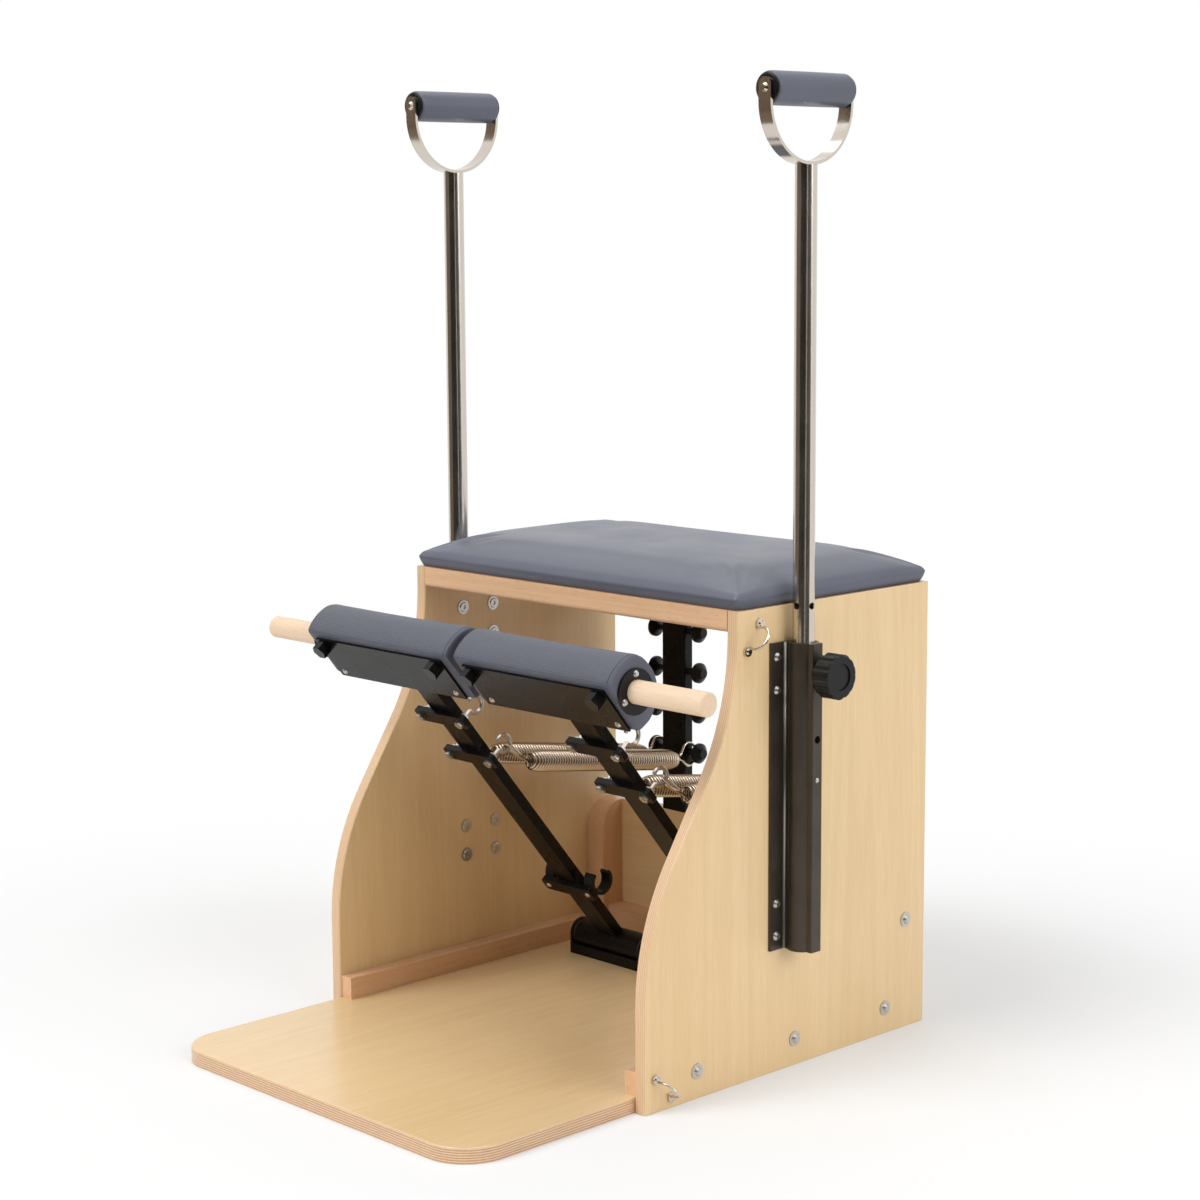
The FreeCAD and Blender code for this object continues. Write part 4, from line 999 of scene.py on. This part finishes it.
    def dress(self) -> None:
        """Builds the pads once, sets one on each pedal and sews their end seams."""
        drawn, pattern = self.build()
        rows = self.stations()
        seams = np.flatnonzero(np.isclose(np.abs(rows[:, 0]), self.half - self.seam))
        for side in Side:
            piece = stand(f"{side.word}_pad_cover", pattern.data.copy())
            piece.data.vertices.foreach_set("co", (PEDAL.place(drawn, side) * MM).ravel())
            subdivide(piece)
            Finish.DOTTED.dress(piece)
            body = f"{side.word}_pedal"
            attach(piece, body)
            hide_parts(f"{side.word}_pedal_pad")
            thread = self.stitches(f"{side.word}_pad_stitches", drawn[seams], side)
            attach(thread, body)
            LOG.info("%s pad: %d points", side.word, len(piece.data.vertices))
        bpy.data.objects.remove(pattern)

    def stitches(self, name: str, seams: np.ndarray, side: Side) -> bpy.types.Object:
        """Lays a row of short stitches in each end seam, outside the flat front.

        A stitch is a spindle along the seam: a ring of points at each of its steps, as wide as the thread
        times p + (1 - p) sin(pi t), where p is the share left at its tips.

        Args:
            name: The piece's name.
            seams: Points of each seam row in the upright drawing.
            side: The pedal's side.

        Returns:
            The stitches as one piece.
        """
        steps, sides = self.stitch_steps, self.stitch_sides
        lines = []
        for seam in seams:
            starts = np.arange(0.0, travel(seam)[-1] - self.stitch, self.stitch)
            stops = starts[:, None] + np.linspace(*self.stitch_span, steps) * self.stitch * self.stitch_share
            lines.append(stops_on(seam, stops))
        line = np.concatenate(lines)
        line = line[line[:, 0, 1] > self.stitch_from]
        way = unit(np.gradient(line, axis=1))
        out = unit(line - line * [1, 0, 0] - [0, 0, PEDAL.dowel])
        out = unit(out - way * (out * way).sum(-1, keepdims=True))
        beside = np.cross(way, out)
        turn = spokes(sides)
        bulge = np.sin(math.pi * np.linspace(0, 1, steps))[:, None, None]
        swell = self.thread * (self.stitch_tip + (1 - self.stitch_tip) * bulge)
        rings = swell * (out[:, :, None] * np.cos(turn)[:, None] + beside[:, :, None] * np.sin(turn)[:, None])
        points = (line + self.thread_out * out)[:, :, None] + rings
        quads, _ = lattice(steps, sides, False, True)
        per = steps * sides
        caps = np.stack([np.arange(sides), np.arange(sides) + per - sides])
        first = per * np.arange(len(line))[:, None, None]
        faces = (quads + first).reshape(-1, 4).tolist() + (caps + first).reshape(-1, sides).tolist()
        piece = make_piece(name, PEDAL.place(points, side), faces)
        Finish.THREAD.dress(piece)
        return piece


@dataclass
class HandleGrips:
    """The grips: foam in a sewn vinyl sleeve between black end caps."""

    pole_x: float = 331.0
    pole_y: float = 132.2
    height: float = 1249.0
    half: float = 72.5
    radius: float = 20.5
    edge_round: float = 3.0
    edge_held: float = 4.0
    barrel_from: float = 6.0
    barrel_rise: float = 0.3
    barrel_turn: float = 1.4
    round_steps: int = 6
    barrel_steps: int = 26
    bore: float = 10.0
    bore_held: float = 12.0
    seam: float = 0.7
    seam_turn: float = 0.16
    seam_held: float = 0.1
    seam_share: float = 0.8
    cap: float = 2.6
    cap_radius: float = 18.5
    cap_bore: float = 4.0
    cap_inner_round: float = 0.5
    cap_outer_round: float = 0.8
    cap_inset: float = 0.05
    columns: int = 72
    stuffing: Stuffing = Stuffing(pressure=6.0, most=0.5)

    def turned(self, name: str, rows: np.ndarray, side: Side,
               seam: float = 0.0) -> tuple[bpy.types.Object, np.ndarray]:
        """Turns a profile about the grip's axis, with a sewn ridge along its underside.

        A point is at r + seam e^(-(a / w)^2), with a its angle from straight down and w the ridge's width.

        Args:
            name: The piece's name.
            rows: (along, radius) stations that close on themselves.
            side: The handle's side.
            seam: How far the ridge stands out.

        Returns:
            The piece, and the angle of each of its points.
        """
        angle = np.linspace(-math.pi, math.pi, self.columns, endpoint=False)
        ridge = seam * np.exp(-(angle / self.seam_turn) ** 2) * (rows[:, 1:] > self.seam_share * self.radius)
        reach = rows[:, 1:] + ridge
        points = np.stack([side.value * self.pole_x + reach * np.sin(angle),
                           np.broadcast_to(self.pole_y + rows[:, :1], reach.shape),
                           self.height - reach * np.cos(angle)], -1)
        quads, _ = lattice(len(rows), self.columns, True, True)
        return make_piece(name, points, quads.tolist()), np.broadcast_to(angle, reach.shape).ravel()

    def build(self, side: Side) -> tuple[bpy.types.Object, bpy.types.Object]:
        """Makes one sleeve and its two end caps.

        The sleeve's ends are quarter circles, and its barrel stands out by rise cos(turn t), where t runs
        from -1 to 1 along it.

        Args:
            side: The handle's side.

        Returns:
            The sleeve and the caps.
        """
        edge, bend = self.half - self.cap, self.edge_round
        turn = np.linspace(0, math.pi / 2, self.round_steps)
        round_over = np.stack([edge - bend + bend * np.cos(turn),
                               self.radius - bend + bend * np.sin(turn)], -1)
        long = np.linspace(edge - self.barrel_from, self.barrel_from - edge, self.barrel_steps)
        barrel = np.stack([long, self.radius + self.barrel_rise * np.cos(long / edge * self.barrel_turn)], -1)
        sleeve = np.vstack([[[0, self.bore], [edge, self.bore]], round_over, barrel,
                            round_over[::-1] * [-1, 1], [[-edge, self.bore]]])
        cover, angle = self.turned(f"{side.word}_grip_cover", sleeve, side, self.seam)
        ends = np.repeat(np.abs(sleeve[:, 0]) > edge - self.edge_held, self.columns)
        bore = np.repeat(sleeve[:, 1] < self.bore_held, self.columns)
        self.stuffing.fill(cover, ends | bore | (np.abs(angle) < self.seam_held))
        outer, rim = self.half - self.cap_inset, self.cap_radius
        disc = [[edge, self.cap_bore], [edge, rim - self.cap_inner_round], [edge + self.cap_inner_round, rim],
                [outer - self.cap_outer_round, rim], [outer, rim - self.cap_outer_round],
                [outer, self.cap_bore]]
        shapes = [self.turned("end_cap", np.array(disc) * [way, 1], side)[0] for way in (-1, 1)]
        caps = self.join(shapes, f"{side.word}_grip_caps")
        return cover, caps

    @staticmethod
    def join(pieces: Sequence[bpy.types.Object], name: str) -> bpy.types.Object:
        """Joins pieces into one.

        Args:
            pieces: The pieces, which are used up.
            name: The joined piece's name.

        Returns:
            The joined piece.
        """
        shell = bmesh.new()
        for piece in pieces:
            shell.from_mesh(piece.data)
        mesh = bpy.data.meshes.new(name)
        shell.to_mesh(mesh)
        shell.free()
        mesh.shade_smooth()
        for piece in pieces:
            bpy.data.objects.remove(piece)
        return stand(name, mesh)

    def dress(self) -> None:
        """Builds both grips and sets them in place of the plain solids."""
        for side in Side:
            cover, caps = self.build(side)
            subdivide(cover)
            Finish.VINYL.dress(cover)
            Finish.PLASTIC.dress(caps)
            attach(cover, f"{side.word}_handle")
            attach(caps, f"{side.word}_handle")
            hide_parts(f"{side.word}_handle_grip")
            LOG.info("%s grip: %d points", side.word, len(cover.data.vertices))


# Springs


@dataclass
class PullSprings:
    """The four springs from the lower eye bolts to the lowest pegs, wound with a hair's gap between turns."""

    ring: tuple[float, float] = (22.0, 419.5)
    eye_half: float = 39.4
    eye_radius: float = 12.0
    eye_wire: float = 2.8
    peg: tuple[float, float] = (398.0, 314.0)
    peg_half: float = 30.5
    peg_neck: float = 5.0
    wire: float = 2.1
    coil: float = 13.2
    pitch: float = 4.9
    taper: float = 4.5
    front_mouth: float = 0.64
    rear_mouth: float = 0.4
    lead: float = 6.0
    front_loop: float = 38.0
    rear_loop: float = 23.0
    front_radius: float = 9.0
    rear_radius: float = 17.0
    front_sag: float = 25.0
    rear_sag: float = 22.0
    gap: float = 0.3
    per_turn: int = 26
    loop_steps: int = 22
    lead_steps: int = 24
    lead_fullness: float = 1.3
    sides: int = 10
    open_turn: float = 38.0

    def ends(self, side: Side, lane: Lane) -> tuple[np.ndarray, np.ndarray, np.ndarray, np.ndarray]:
        """The middles of a slack spring's two end loops, and the ways the loops point from front to rear.

        The front loop hangs below the straight pull by one angle. The rear loop rises to its peg by another.

        Args:
            side: The pedal's side.
            lane: Which of the pedal's springs.

        Returns:
            The front middle, the front way, the rear middle and the rear way.
        """
        across = side.value * lane.value
        ring = PEDAL.place(np.array([across * self.eye_half, *self.ring]), side)
        peg = np.array([side.value * PEDAL.spread + across * self.peg_half, *self.peg])
        pull = unit(peg - ring)
        down = unit(np.cross(pull, [1.0, 0.0, 0.0]))
        front_way, rear_way = (pull * math.cos(angle) + down * math.sin(angle)
                               for angle in (math.radians(self.front_sag), -math.radians(self.rear_sag)))
        off_ring = self.eye_radius + self.front_radius - self.wire - self.eye_wire - self.gap
        off_peg = self.rear_radius - self.wire - self.peg_neck - self.gap
        return ring + front_way * off_ring, front_way, peg - rear_way * off_peg, rear_way

    def end_loop(self, centre: np.ndarray, outward: np.ndarray, side: np.ndarray, radius: float,
                 length: float) -> tuple[np.ndarray, np.ndarray]:
        """Stations of a drawn-out wire loop, from the spring's axis round to its free end beside the axis.

        Args:
            centre: The loop's middle.
            outward: Away from the coil.
            side: The side the wire takes first.
            radius: The loop's radius.
            length: How far the loop's middle is from its inner end.

        Returns:
            The places and the directions at them.
        """
        beside = 2 * self.wire + 2 * self.gap
        places = [centre - outward * length, centre + side * radius, centre + outward * radius,
                  centre - side * radius, centre - outward * (length - 2 * self.wire) - side * beside]
        return np.array(places), np.array([outward, outward, -side, -outward, -outward])

    def build(self, side: Side, lane: Lane) -> bpy.types.Object:
        """Winds one spring: front loop, bullet-ended coil and rear loop in one wire.

        The coil's radius is its full one times m + (1 - m) sqrt(1 - (1 - e)^2), where e runs from 0 to 1
        over the taper.

        Args:
            side: The pedal's side.
            lane: Which of the pedal's springs.

        Returns:
            The spring.
        """
        front, front_way, rear, rear_way = self.ends(side, lane)
        lateral = np.array([1.0, 0.0, 0.0])
        roll = math.radians(self.open_turn) if side is Side.RIGHT and lane is Lane.OUTER else 0.0
        open_way = math.cos(roll) * lateral + math.sin(roll) * unit(np.cross(front_way, lateral))
        beside = side.value * lane.value * unit(open_way - front_way * (open_way @ front_way))
        places, ways = self.end_loop(front, -front_way, beside, self.front_radius, self.front_loop)
        places, ways = places[::-1], -ways[::-1]
        rear_side = unit(np.cross(rear_way, lateral))
        rear_places, rear_ways = self.end_loop(rear, rear_way, rear_side, self.rear_radius, self.rear_loop)
        pull = unit(rear_places[0] - places[-1])
        across = unit(np.cross(pull, lateral))
        upward = np.cross(across, pull)
        start = places[-1] + pull * self.lead
        run = float((rear_places[0] - start) @ pull) - self.lead
        turns = round(run / self.pitch)
        turn = np.linspace(0, turns, turns * self.per_turn + 1)[:, None]
        ease = np.clip(np.minimum(turn, turns - turn) / self.taper, 0, 1)
        mouth = np.where(turn < turns / 2, self.front_mouth, self.rear_mouth)
        radius = self.coil * (mouth + (1 - mouth) * np.sqrt(1 - (1 - ease) ** 2))
        angle = 2 * math.pi * turn
        spoke = across * np.cos(angle) + upward * np.sin(angle)
        winding = start + pull * (run * turn / turns) + radius * spoke
        way = unit(np.gradient(winding, axis=0))
        front_lead, rear_lead = (
            flowing(np.stack(places_of), np.stack(ways_of), self.lead_steps, self.lead_fullness)
            for places_of, ways_of in (((places[-1], winding[0]), (front_way, way[0])),
                                       ((winding[-1], rear_places[0]), (way[-1], rear_way))))
        rear_wire = np.vstack([flowing(rear_places, rear_ways, self.loop_steps), rear_places[-1:]])
        parts = [
            (flowing(places, ways, self.loop_steps), np.cross(front_way, beside), None),
            (front_lead, None, way[0]),
            (winding[:-1], pull, None),
            (rear_lead, None, way[-1]),
            (rear_wire, np.cross(rear_way, rear_side), None),
        ]
        leans = [self.lean(parts, number, pull) for number in range(len(parts))]
        points, faces = sweep(np.vstack([part[0] for part in parts]), np.vstack(leans), self.wire, self.sides)
        return make_piece(f"{side.word}_{lane.word}_spring_wire", points, faces)

    @staticmethod
    def lean(parts: Sequence[tuple], number: int, pull: np.ndarray) -> np.ndarray:
        """The steadying direction along one part of the wire.

        A loop leans square to its plane and the coil along its axis. A lead eases from one to the
        other, with the loop's direction taken on the side away from the wire's own.

        Args:
            parts: The wire's parts as (points, direction or None, the coil's way at a lead or None).
            number: Which part.
            pull: The spring's axis.

        Returns:
            A direction at each of the part's points.
        """
        def away(loop: int, lead: int) -> np.ndarray:
            """A loop's square direction, on the side away from its lead's way into the coil."""
            square = unit(parts[loop][1])
            return square if square @ parts[lead][2] <= 0 else -square

        front_loop, front_lead, coil, rear_lead, rear_loop = range(len(parts))
        count = len(parts[number][0])
        share = smooth(np.linspace(0, 1, count))[:, None]
        at_front, at_rear = away(front_loop, front_lead), away(rear_loop, rear_lead)
        return {
            front_loop: np.broadcast_to(at_front, (count, 3)),
            front_lead: at_front * (1 - share) + pull * share,
            coil: np.broadcast_to(pull, (count, 3)),
            rear_lead: pull * (1 - share) + at_rear * share,
            rear_loop: np.broadcast_to(at_rear, (count, 3)),
        }[number]

    def dress(self) -> None:
        """Winds all four springs and sets them in place of the plain solids."""
        for side in Side:
            for lane in Lane:
                piece = self.build(side, lane)
                Finish.SPRING.dress(piece)
                front, front_way, rear, rear_way = self.ends(side, lane)
                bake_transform(piece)
                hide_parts(f"{side.word}_{lane.word}_spring")
                LOG.info("%s: %d points", piece.name, len(piece.data.vertices))


# Pole brackets


@dataclass
class BracketCorners:
    """The hollow corners between each pole bracket's flanges and its neck, in a paler metal as a painted
    highlight.
    """

    flange: float = 4.0
    neck: float = 14.5
    hollow: float = 2.3
    sunk: float = 0.4
    steps: int = 9

    def build(self, side: Side, corner: Corner) -> bpy.types.Object:
        """Carries one corner's section up the bracket.

        The section is a quarter circle about a point one hollow off the flange and one off the neck, closed
        by a point inside the metal.

        Args:
            side: The bracket's side.
            corner: Which of the bracket's corners.

        Returns:
            The corner's piece.
        """
        low, high = (np.array(end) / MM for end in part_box(f"{side.word}_pole_bracket"))
        face = low[0] if side is Side.RIGHT else high[0]
        turn = np.linspace(0.0, math.pi / 2, self.steps)
        out = np.append(self.flange + self.hollow * (1 - np.cos(turn)), self.flange - self.sunk)
        off = np.append(self.neck + self.hollow * (1 - np.sin(turn)), self.neck - self.sunk)
        ends = np.array([low[2] + self.sunk, high[2] - self.sunk])
        points = np.empty((2, len(out), 3))
        points[..., 0] = face + side.value * out
        points[..., 1] = (low[1] + high[1]) / 2 + corner.value * off
        points[..., 2] = ends[:, None]
        walls, _ = lattice(2, len(out), False, True)
        caps = np.arange(2 * len(out)).reshape(2, -1)
        return make_piece(f"{side.word}_bracket_{corner.word}_corner", points, walls.tolist() + caps.tolist())

    def dress(self) -> None:
        """Builds the four corners and fixes them to the cabinet."""
        for side in Side:
            for corner in Corner:
                piece = self.build(side, corner)
                # The paler metal is a painted highlight along each hollow corner.
                Finish.CORNER.dress(piece)
                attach(piece, "cabinet")
                LOG.info("%s: %d points", piece.name, len(piece.data.vertices))


# Frame, light and camera


@dataclass
class CabinetAndFittings:
    """The CAD nodes that stay, each with its real finish."""

    still: tuple[tuple[Finish, tuple[str, ...]], ...] = (
        (Finish.BASE, ("base_board",)),
        (Finish.REAR, ("rear_board",)),
        (Finish.CLEAT, ("base_cleats",)),
        (Finish.BATTEN, ("rear_battens",)),
        (Finish.RAIL, ("rear_base_cleat", "front_top_rail", "rear_top_rail")),
        (Finish.CORE, ("seat_board",)),
        (Finish.STEEL, ("spring_columns", "pivot_brackets")),
        (Finish.PLASTIC, ("spring_pegs",)),
        (Finish.ZINC, ("bracket_bolts", "bracket_nuts", "cabinet_bolts", "pivot_axles", "pivot_screws")),
        (Finish.NYLON, ("pole_bushes",)),
        (Finish.STRAP, ("strap_hooks",)),
        (Finish.DOWEL, ("pedal_dowel",)),
    )
    paired: tuple[tuple[Finish, tuple[str, ...]], ...] = (
        (Finish.PANEL, ("side_panel",)),
        (Finish.BRACKET, ("pole_bracket",)),
        (Finish.STEEL, ("pedal_arm", "pedal_plate")),
        (Finish.PLASTIC, ("lock_knob", "dowel_clips", "dowel_flange")),
        (Finish.NYLON, ("sleeve_bushes", "pole_plug")),
        (Finish.RUBBER, ("pedal_bumpers",)),
        (Finish.ZINC, ("pedal_screws", "eye_bolts")),
        (Finish.CORE, ("pad_core",)),
        (Finish.POLE, ("pole",)),
        (Finish.STRAP, ("handle_strap", "grip_screws")),
    )

    def dress(self) -> None:
        """Puts each node's finish on it."""
        for finish, names in self.still:
            for name in names:
                finish.dress(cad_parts[name])
        for finish, names in self.paired:
            for name in names:
                for side in Side:
                    finish.dress(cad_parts[f"{side.word}_{name}"])
        LOG.info("finishes on %d frame nodes", len(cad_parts))


@dataclass
class Studio:
    """A white sweep with soft lamps, and the camera at the photograph's place. Its lengths are metres."""

    camera_at: tuple[float, float, float] = (2.4494, -2.2719, 1.1003)
    azimuth: float = 45.9805
    elevation: float = 8.5820
    roll: float = -0.3539
    focal: float = 2563.46
    picture: float = 1200.0
    sensor: float = 36.0
    farthest: float = 100.0
    ambient: float = 0.15
    floor_half: float = 30.0
    floor_drop: float = 0.0004
    floor_bounce: Colour = (0.86, 0.86, 0.86)
    floor_seen: Colour = (0.62, 0.62, 0.62)
    lift: float = 0.27
    white_from: float = 0.7
    white_at: float = 1.6
    cove_foot: tuple[float, float] = (1.9, 3.2)
    cove_lift: float = 0.004
    cove_radius: float = 6.0
    cove_waist: float = 2.0
    cove_height: float = 5.0
    cove_steps: int = 25
    cove_cloths: tuple[tuple[float, float, Colour], ...] = (
        (-112.0, -58.0, (0.2, 0.155, 0.115)), (-58.0, 9.0, (0.045, 0.039, 0.033)),
        (13.0, 54.0, (0.07, 0.06, 0.05)))
    lamps: tuple[tuple[str, tuple[float, float, float], float, float], ...] = (
        ("key_lamp", (-0.9, -2.8, 2.3), 2.15, 46.0), ("right_lamp", (3.6, 0.5, 1.7), 1.6, 50.0),
        ("top_lamp", (-0.8, 0.5, 3.2), 1.15, 60.0), ("spark_lamp", (-0.9, -2.2, 2.8), 0.16, 7.0))

    def camera(self) -> None:
        """Sets the camera at the photograph's place, with its lens and tilt."""
        data = bpy.data.cameras.new("photo_camera")
        data.sensor_width = self.sensor
        data.lens = data.sensor_width * self.focal / self.picture
        data.clip_end = self.farthest
        turn, tilt, roll = (math.radians(angle) for angle in (self.azimuth, self.elevation, self.roll))
        right = Vector((math.cos(turn), math.sin(turn), 0.0))
        ahead = Vector((-math.sin(turn) * math.cos(tilt), math.cos(turn) * math.cos(tilt), -math.sin(tilt)))
        upward = right.cross(ahead)
        across = right * math.cos(roll) + upward * math.sin(roll)
        along = upward * math.cos(roll) - right * math.sin(roll)
        camera = stand("photo_camera", data)
        axes = Matrix((across, along, -ahead)).transposed().to_4x4()
        camera.matrix_world = Matrix.Translation(self.camera_at) @ axes
        bpy.context.scene.camera = camera

    @staticmethod
    def seen(tree: bpy.types.NodeTree) -> bpy.types.NodeSocket:
        """Finds the rays that see the background: straight, mirrored or through something clear.

        Args:
            tree: The node tree to add to.

        Returns:
            1 on such rays and 0 on others.
        """
        path = tree.nodes.new("ShaderNodeLightPath")
        either = path.outputs["Is Camera Ray"]
        for name in ("Is Glossy Ray", "Is Transmission Ray"):
            most = tree.nodes.new("ShaderNodeMath")
            most.operation = "MAXIMUM"
            tree.links.new(either, most.inputs[0])
            tree.links.new(path.outputs[name], most.inputs[1])
            either = most.outputs[0]
        return either

    def world(self) -> None:
        """Lights the room evenly, and shows white where the background is seen."""
        world = bpy.data.worlds.new("white_room")
        world.use_nodes = True
        tree = world.node_tree
        shade = tree.nodes["Background"]
        shade.inputs["Color"].default_value = (1.0, 1.0, 1.0, 1.0)
        level = tree.nodes.new("ShaderNodeMapRange")
        level.inputs["To Min"].default_value = self.ambient
        level.inputs["To Max"].default_value = 1.0
        tree.links.new(self.seen(tree), level.inputs[0])
        tree.links.new(level.outputs[0], shade.inputs["Strength"])
        bpy.context.scene.world = world

    def floor(self) -> None:
        """Lays a pale floor that keeps the chair's shadow and turns white further out."""
        corners = np.array([[-1.0, -1.0], [1.0, -1.0], [1.0, 1.0], [-1.0, 1.0]]) * self.floor_half
        points = np.column_stack([corners, np.full(len(corners), -self.floor_drop)]) / MM
        floor = make_piece("studio_floor", points, [range(len(corners))])
        sheet = Sheet("studio_floor")
        tree = sheet.tree
        plain = sheet.node("ShaderNodeBsdfDiffuse", {"Color": self.floor_bounce})
        glow = sheet.node("ShaderNodeEmission", {"Strength": self.lift})
        pale = sheet.node("ShaderNodeBsdfDiffuse", {"Color": self.floor_seen})
        lifted = sheet.node("ShaderNodeAddShader", {0: pale.outputs[0], 1: glow.outputs[0]})
        white = sheet.node("ShaderNodeEmission", {"Strength": 1.0})
        flat = sheet.node("ShaderNodeVectorMath", {0: sheet.where.outputs["Object"]}, operation="LENGTH")
        away = sheet.spread(flat.outputs["Value"], self.white_from, self.white_at, 0.0, 1.0)
        shown = sheet.node("ShaderNodeMixShader", {0: away, 1: lifted.outputs[0], 2: white.outputs[0]})
        either = sheet.node("ShaderNodeMixShader", {0: self.seen(tree), 1: plain.outputs[0],
                                                    2: shown.outputs[0]})
        out = next(node for node in tree.nodes if node.type == "OUTPUT_MATERIAL")
        tree.links.new(either.outputs[0], out.inputs["Surface"])
        tree.nodes.remove(sheet.shader)
        floor.data.materials.append(sheet.material)

    def cove(self) -> None:
        """Hangs dark cloths behind the camera that only mirrored rays meet, for dark cores on bright metal.

        A cloth lies along the floor and turns up into part of a drum about the chair: a point is at
        radius r (cos a, sin a) and height h, with r and h along its profile.
        """
        middle = math.atan2(self.camera_at[1], self.camera_at[0])
        for number, (start, end, colour) in enumerate(self.cove_cloths):
            angle = middle + np.radians(np.linspace(start, end, self.cove_steps))[:, None]
            self.cloth(f"dark_cloth_{number}", angle, colour)

    def cloth(self, name: str, angle: np.ndarray, colour: Colour) -> None:
        """Hangs one cloth of the cove.

        Args:
            name: The cloth's name.
            angle: Where it hangs round the chair.
            colour: Its colour.
        """
        laid = [[radius, self.cove_lift] for radius in (*self.cove_foot, self.cove_radius)]
        hung = [[self.cove_radius, height] for height in (self.cove_waist, self.cove_height)]
        profile = np.array(laid + hung)
        points = np.stack([profile[:, 0] * np.cos(angle), profile[:, 0] * np.sin(angle),
                           np.broadcast_to(profile[:, 1], (len(angle), len(profile)))], -1) / MM
        quads, _ = lattice(*points.shape[:2], False, False)
        cloth = make_piece(name, points, quads.tolist())
        sheet = Sheet(name)
        sheet.set(Base_Color=colour, Roughness=1.0, Specular_IOR_Level=0.0)
        cloth.data.materials.append(sheet.material)
        for ray in ("visible_camera", "visible_diffuse", "visible_shadow", "visible_transmission"):
            setattr(cloth, ray, False)

    def lamp(self, name: str, towards: Sequence[float], strength: float, breadth: float) -> None:
        """Hangs a broad lamp so far off that its light is as strong all over the floor.

        Args:
            name: The lamp's name.
            towards: The direction from the chair to the lamp.
            strength: Its light on a surface that faces it, in watts per square metre.
            breadth: The angle it fills, in degrees, which softens its shadows.
        """
        data = bpy.data.lights.new(name, "SUN")
        data.energy = strength
        data.angle = math.radians(breadth)
        lamp = stand(name, data)
        lamp.rotation_euler = (-Vector(towards)).to_track_quat("-Z", "Y").to_euler()

    def build(self) -> None:
        """Sets up the room, the lamps and the camera."""
        bpy.context.scene.view_settings.view_transform = "Standard"
        self.camera()
        self.world()
        self.floor()
        self.cove()
        for lamp in self.lamps:
            self.lamp(*lamp)


def main() -> None:
    """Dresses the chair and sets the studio."""
    logging.basicConfig(level=logging.INFO, format="%(message)s")
    CabinetAndFittings().dress()
    SeatCushion().dress()
    PedalPads().dress()
    HandleGrips().dress()
    PullSprings().dress()
    BracketCorners().dress()
    Studio().build()


if __name__ == "__main__":
    main()
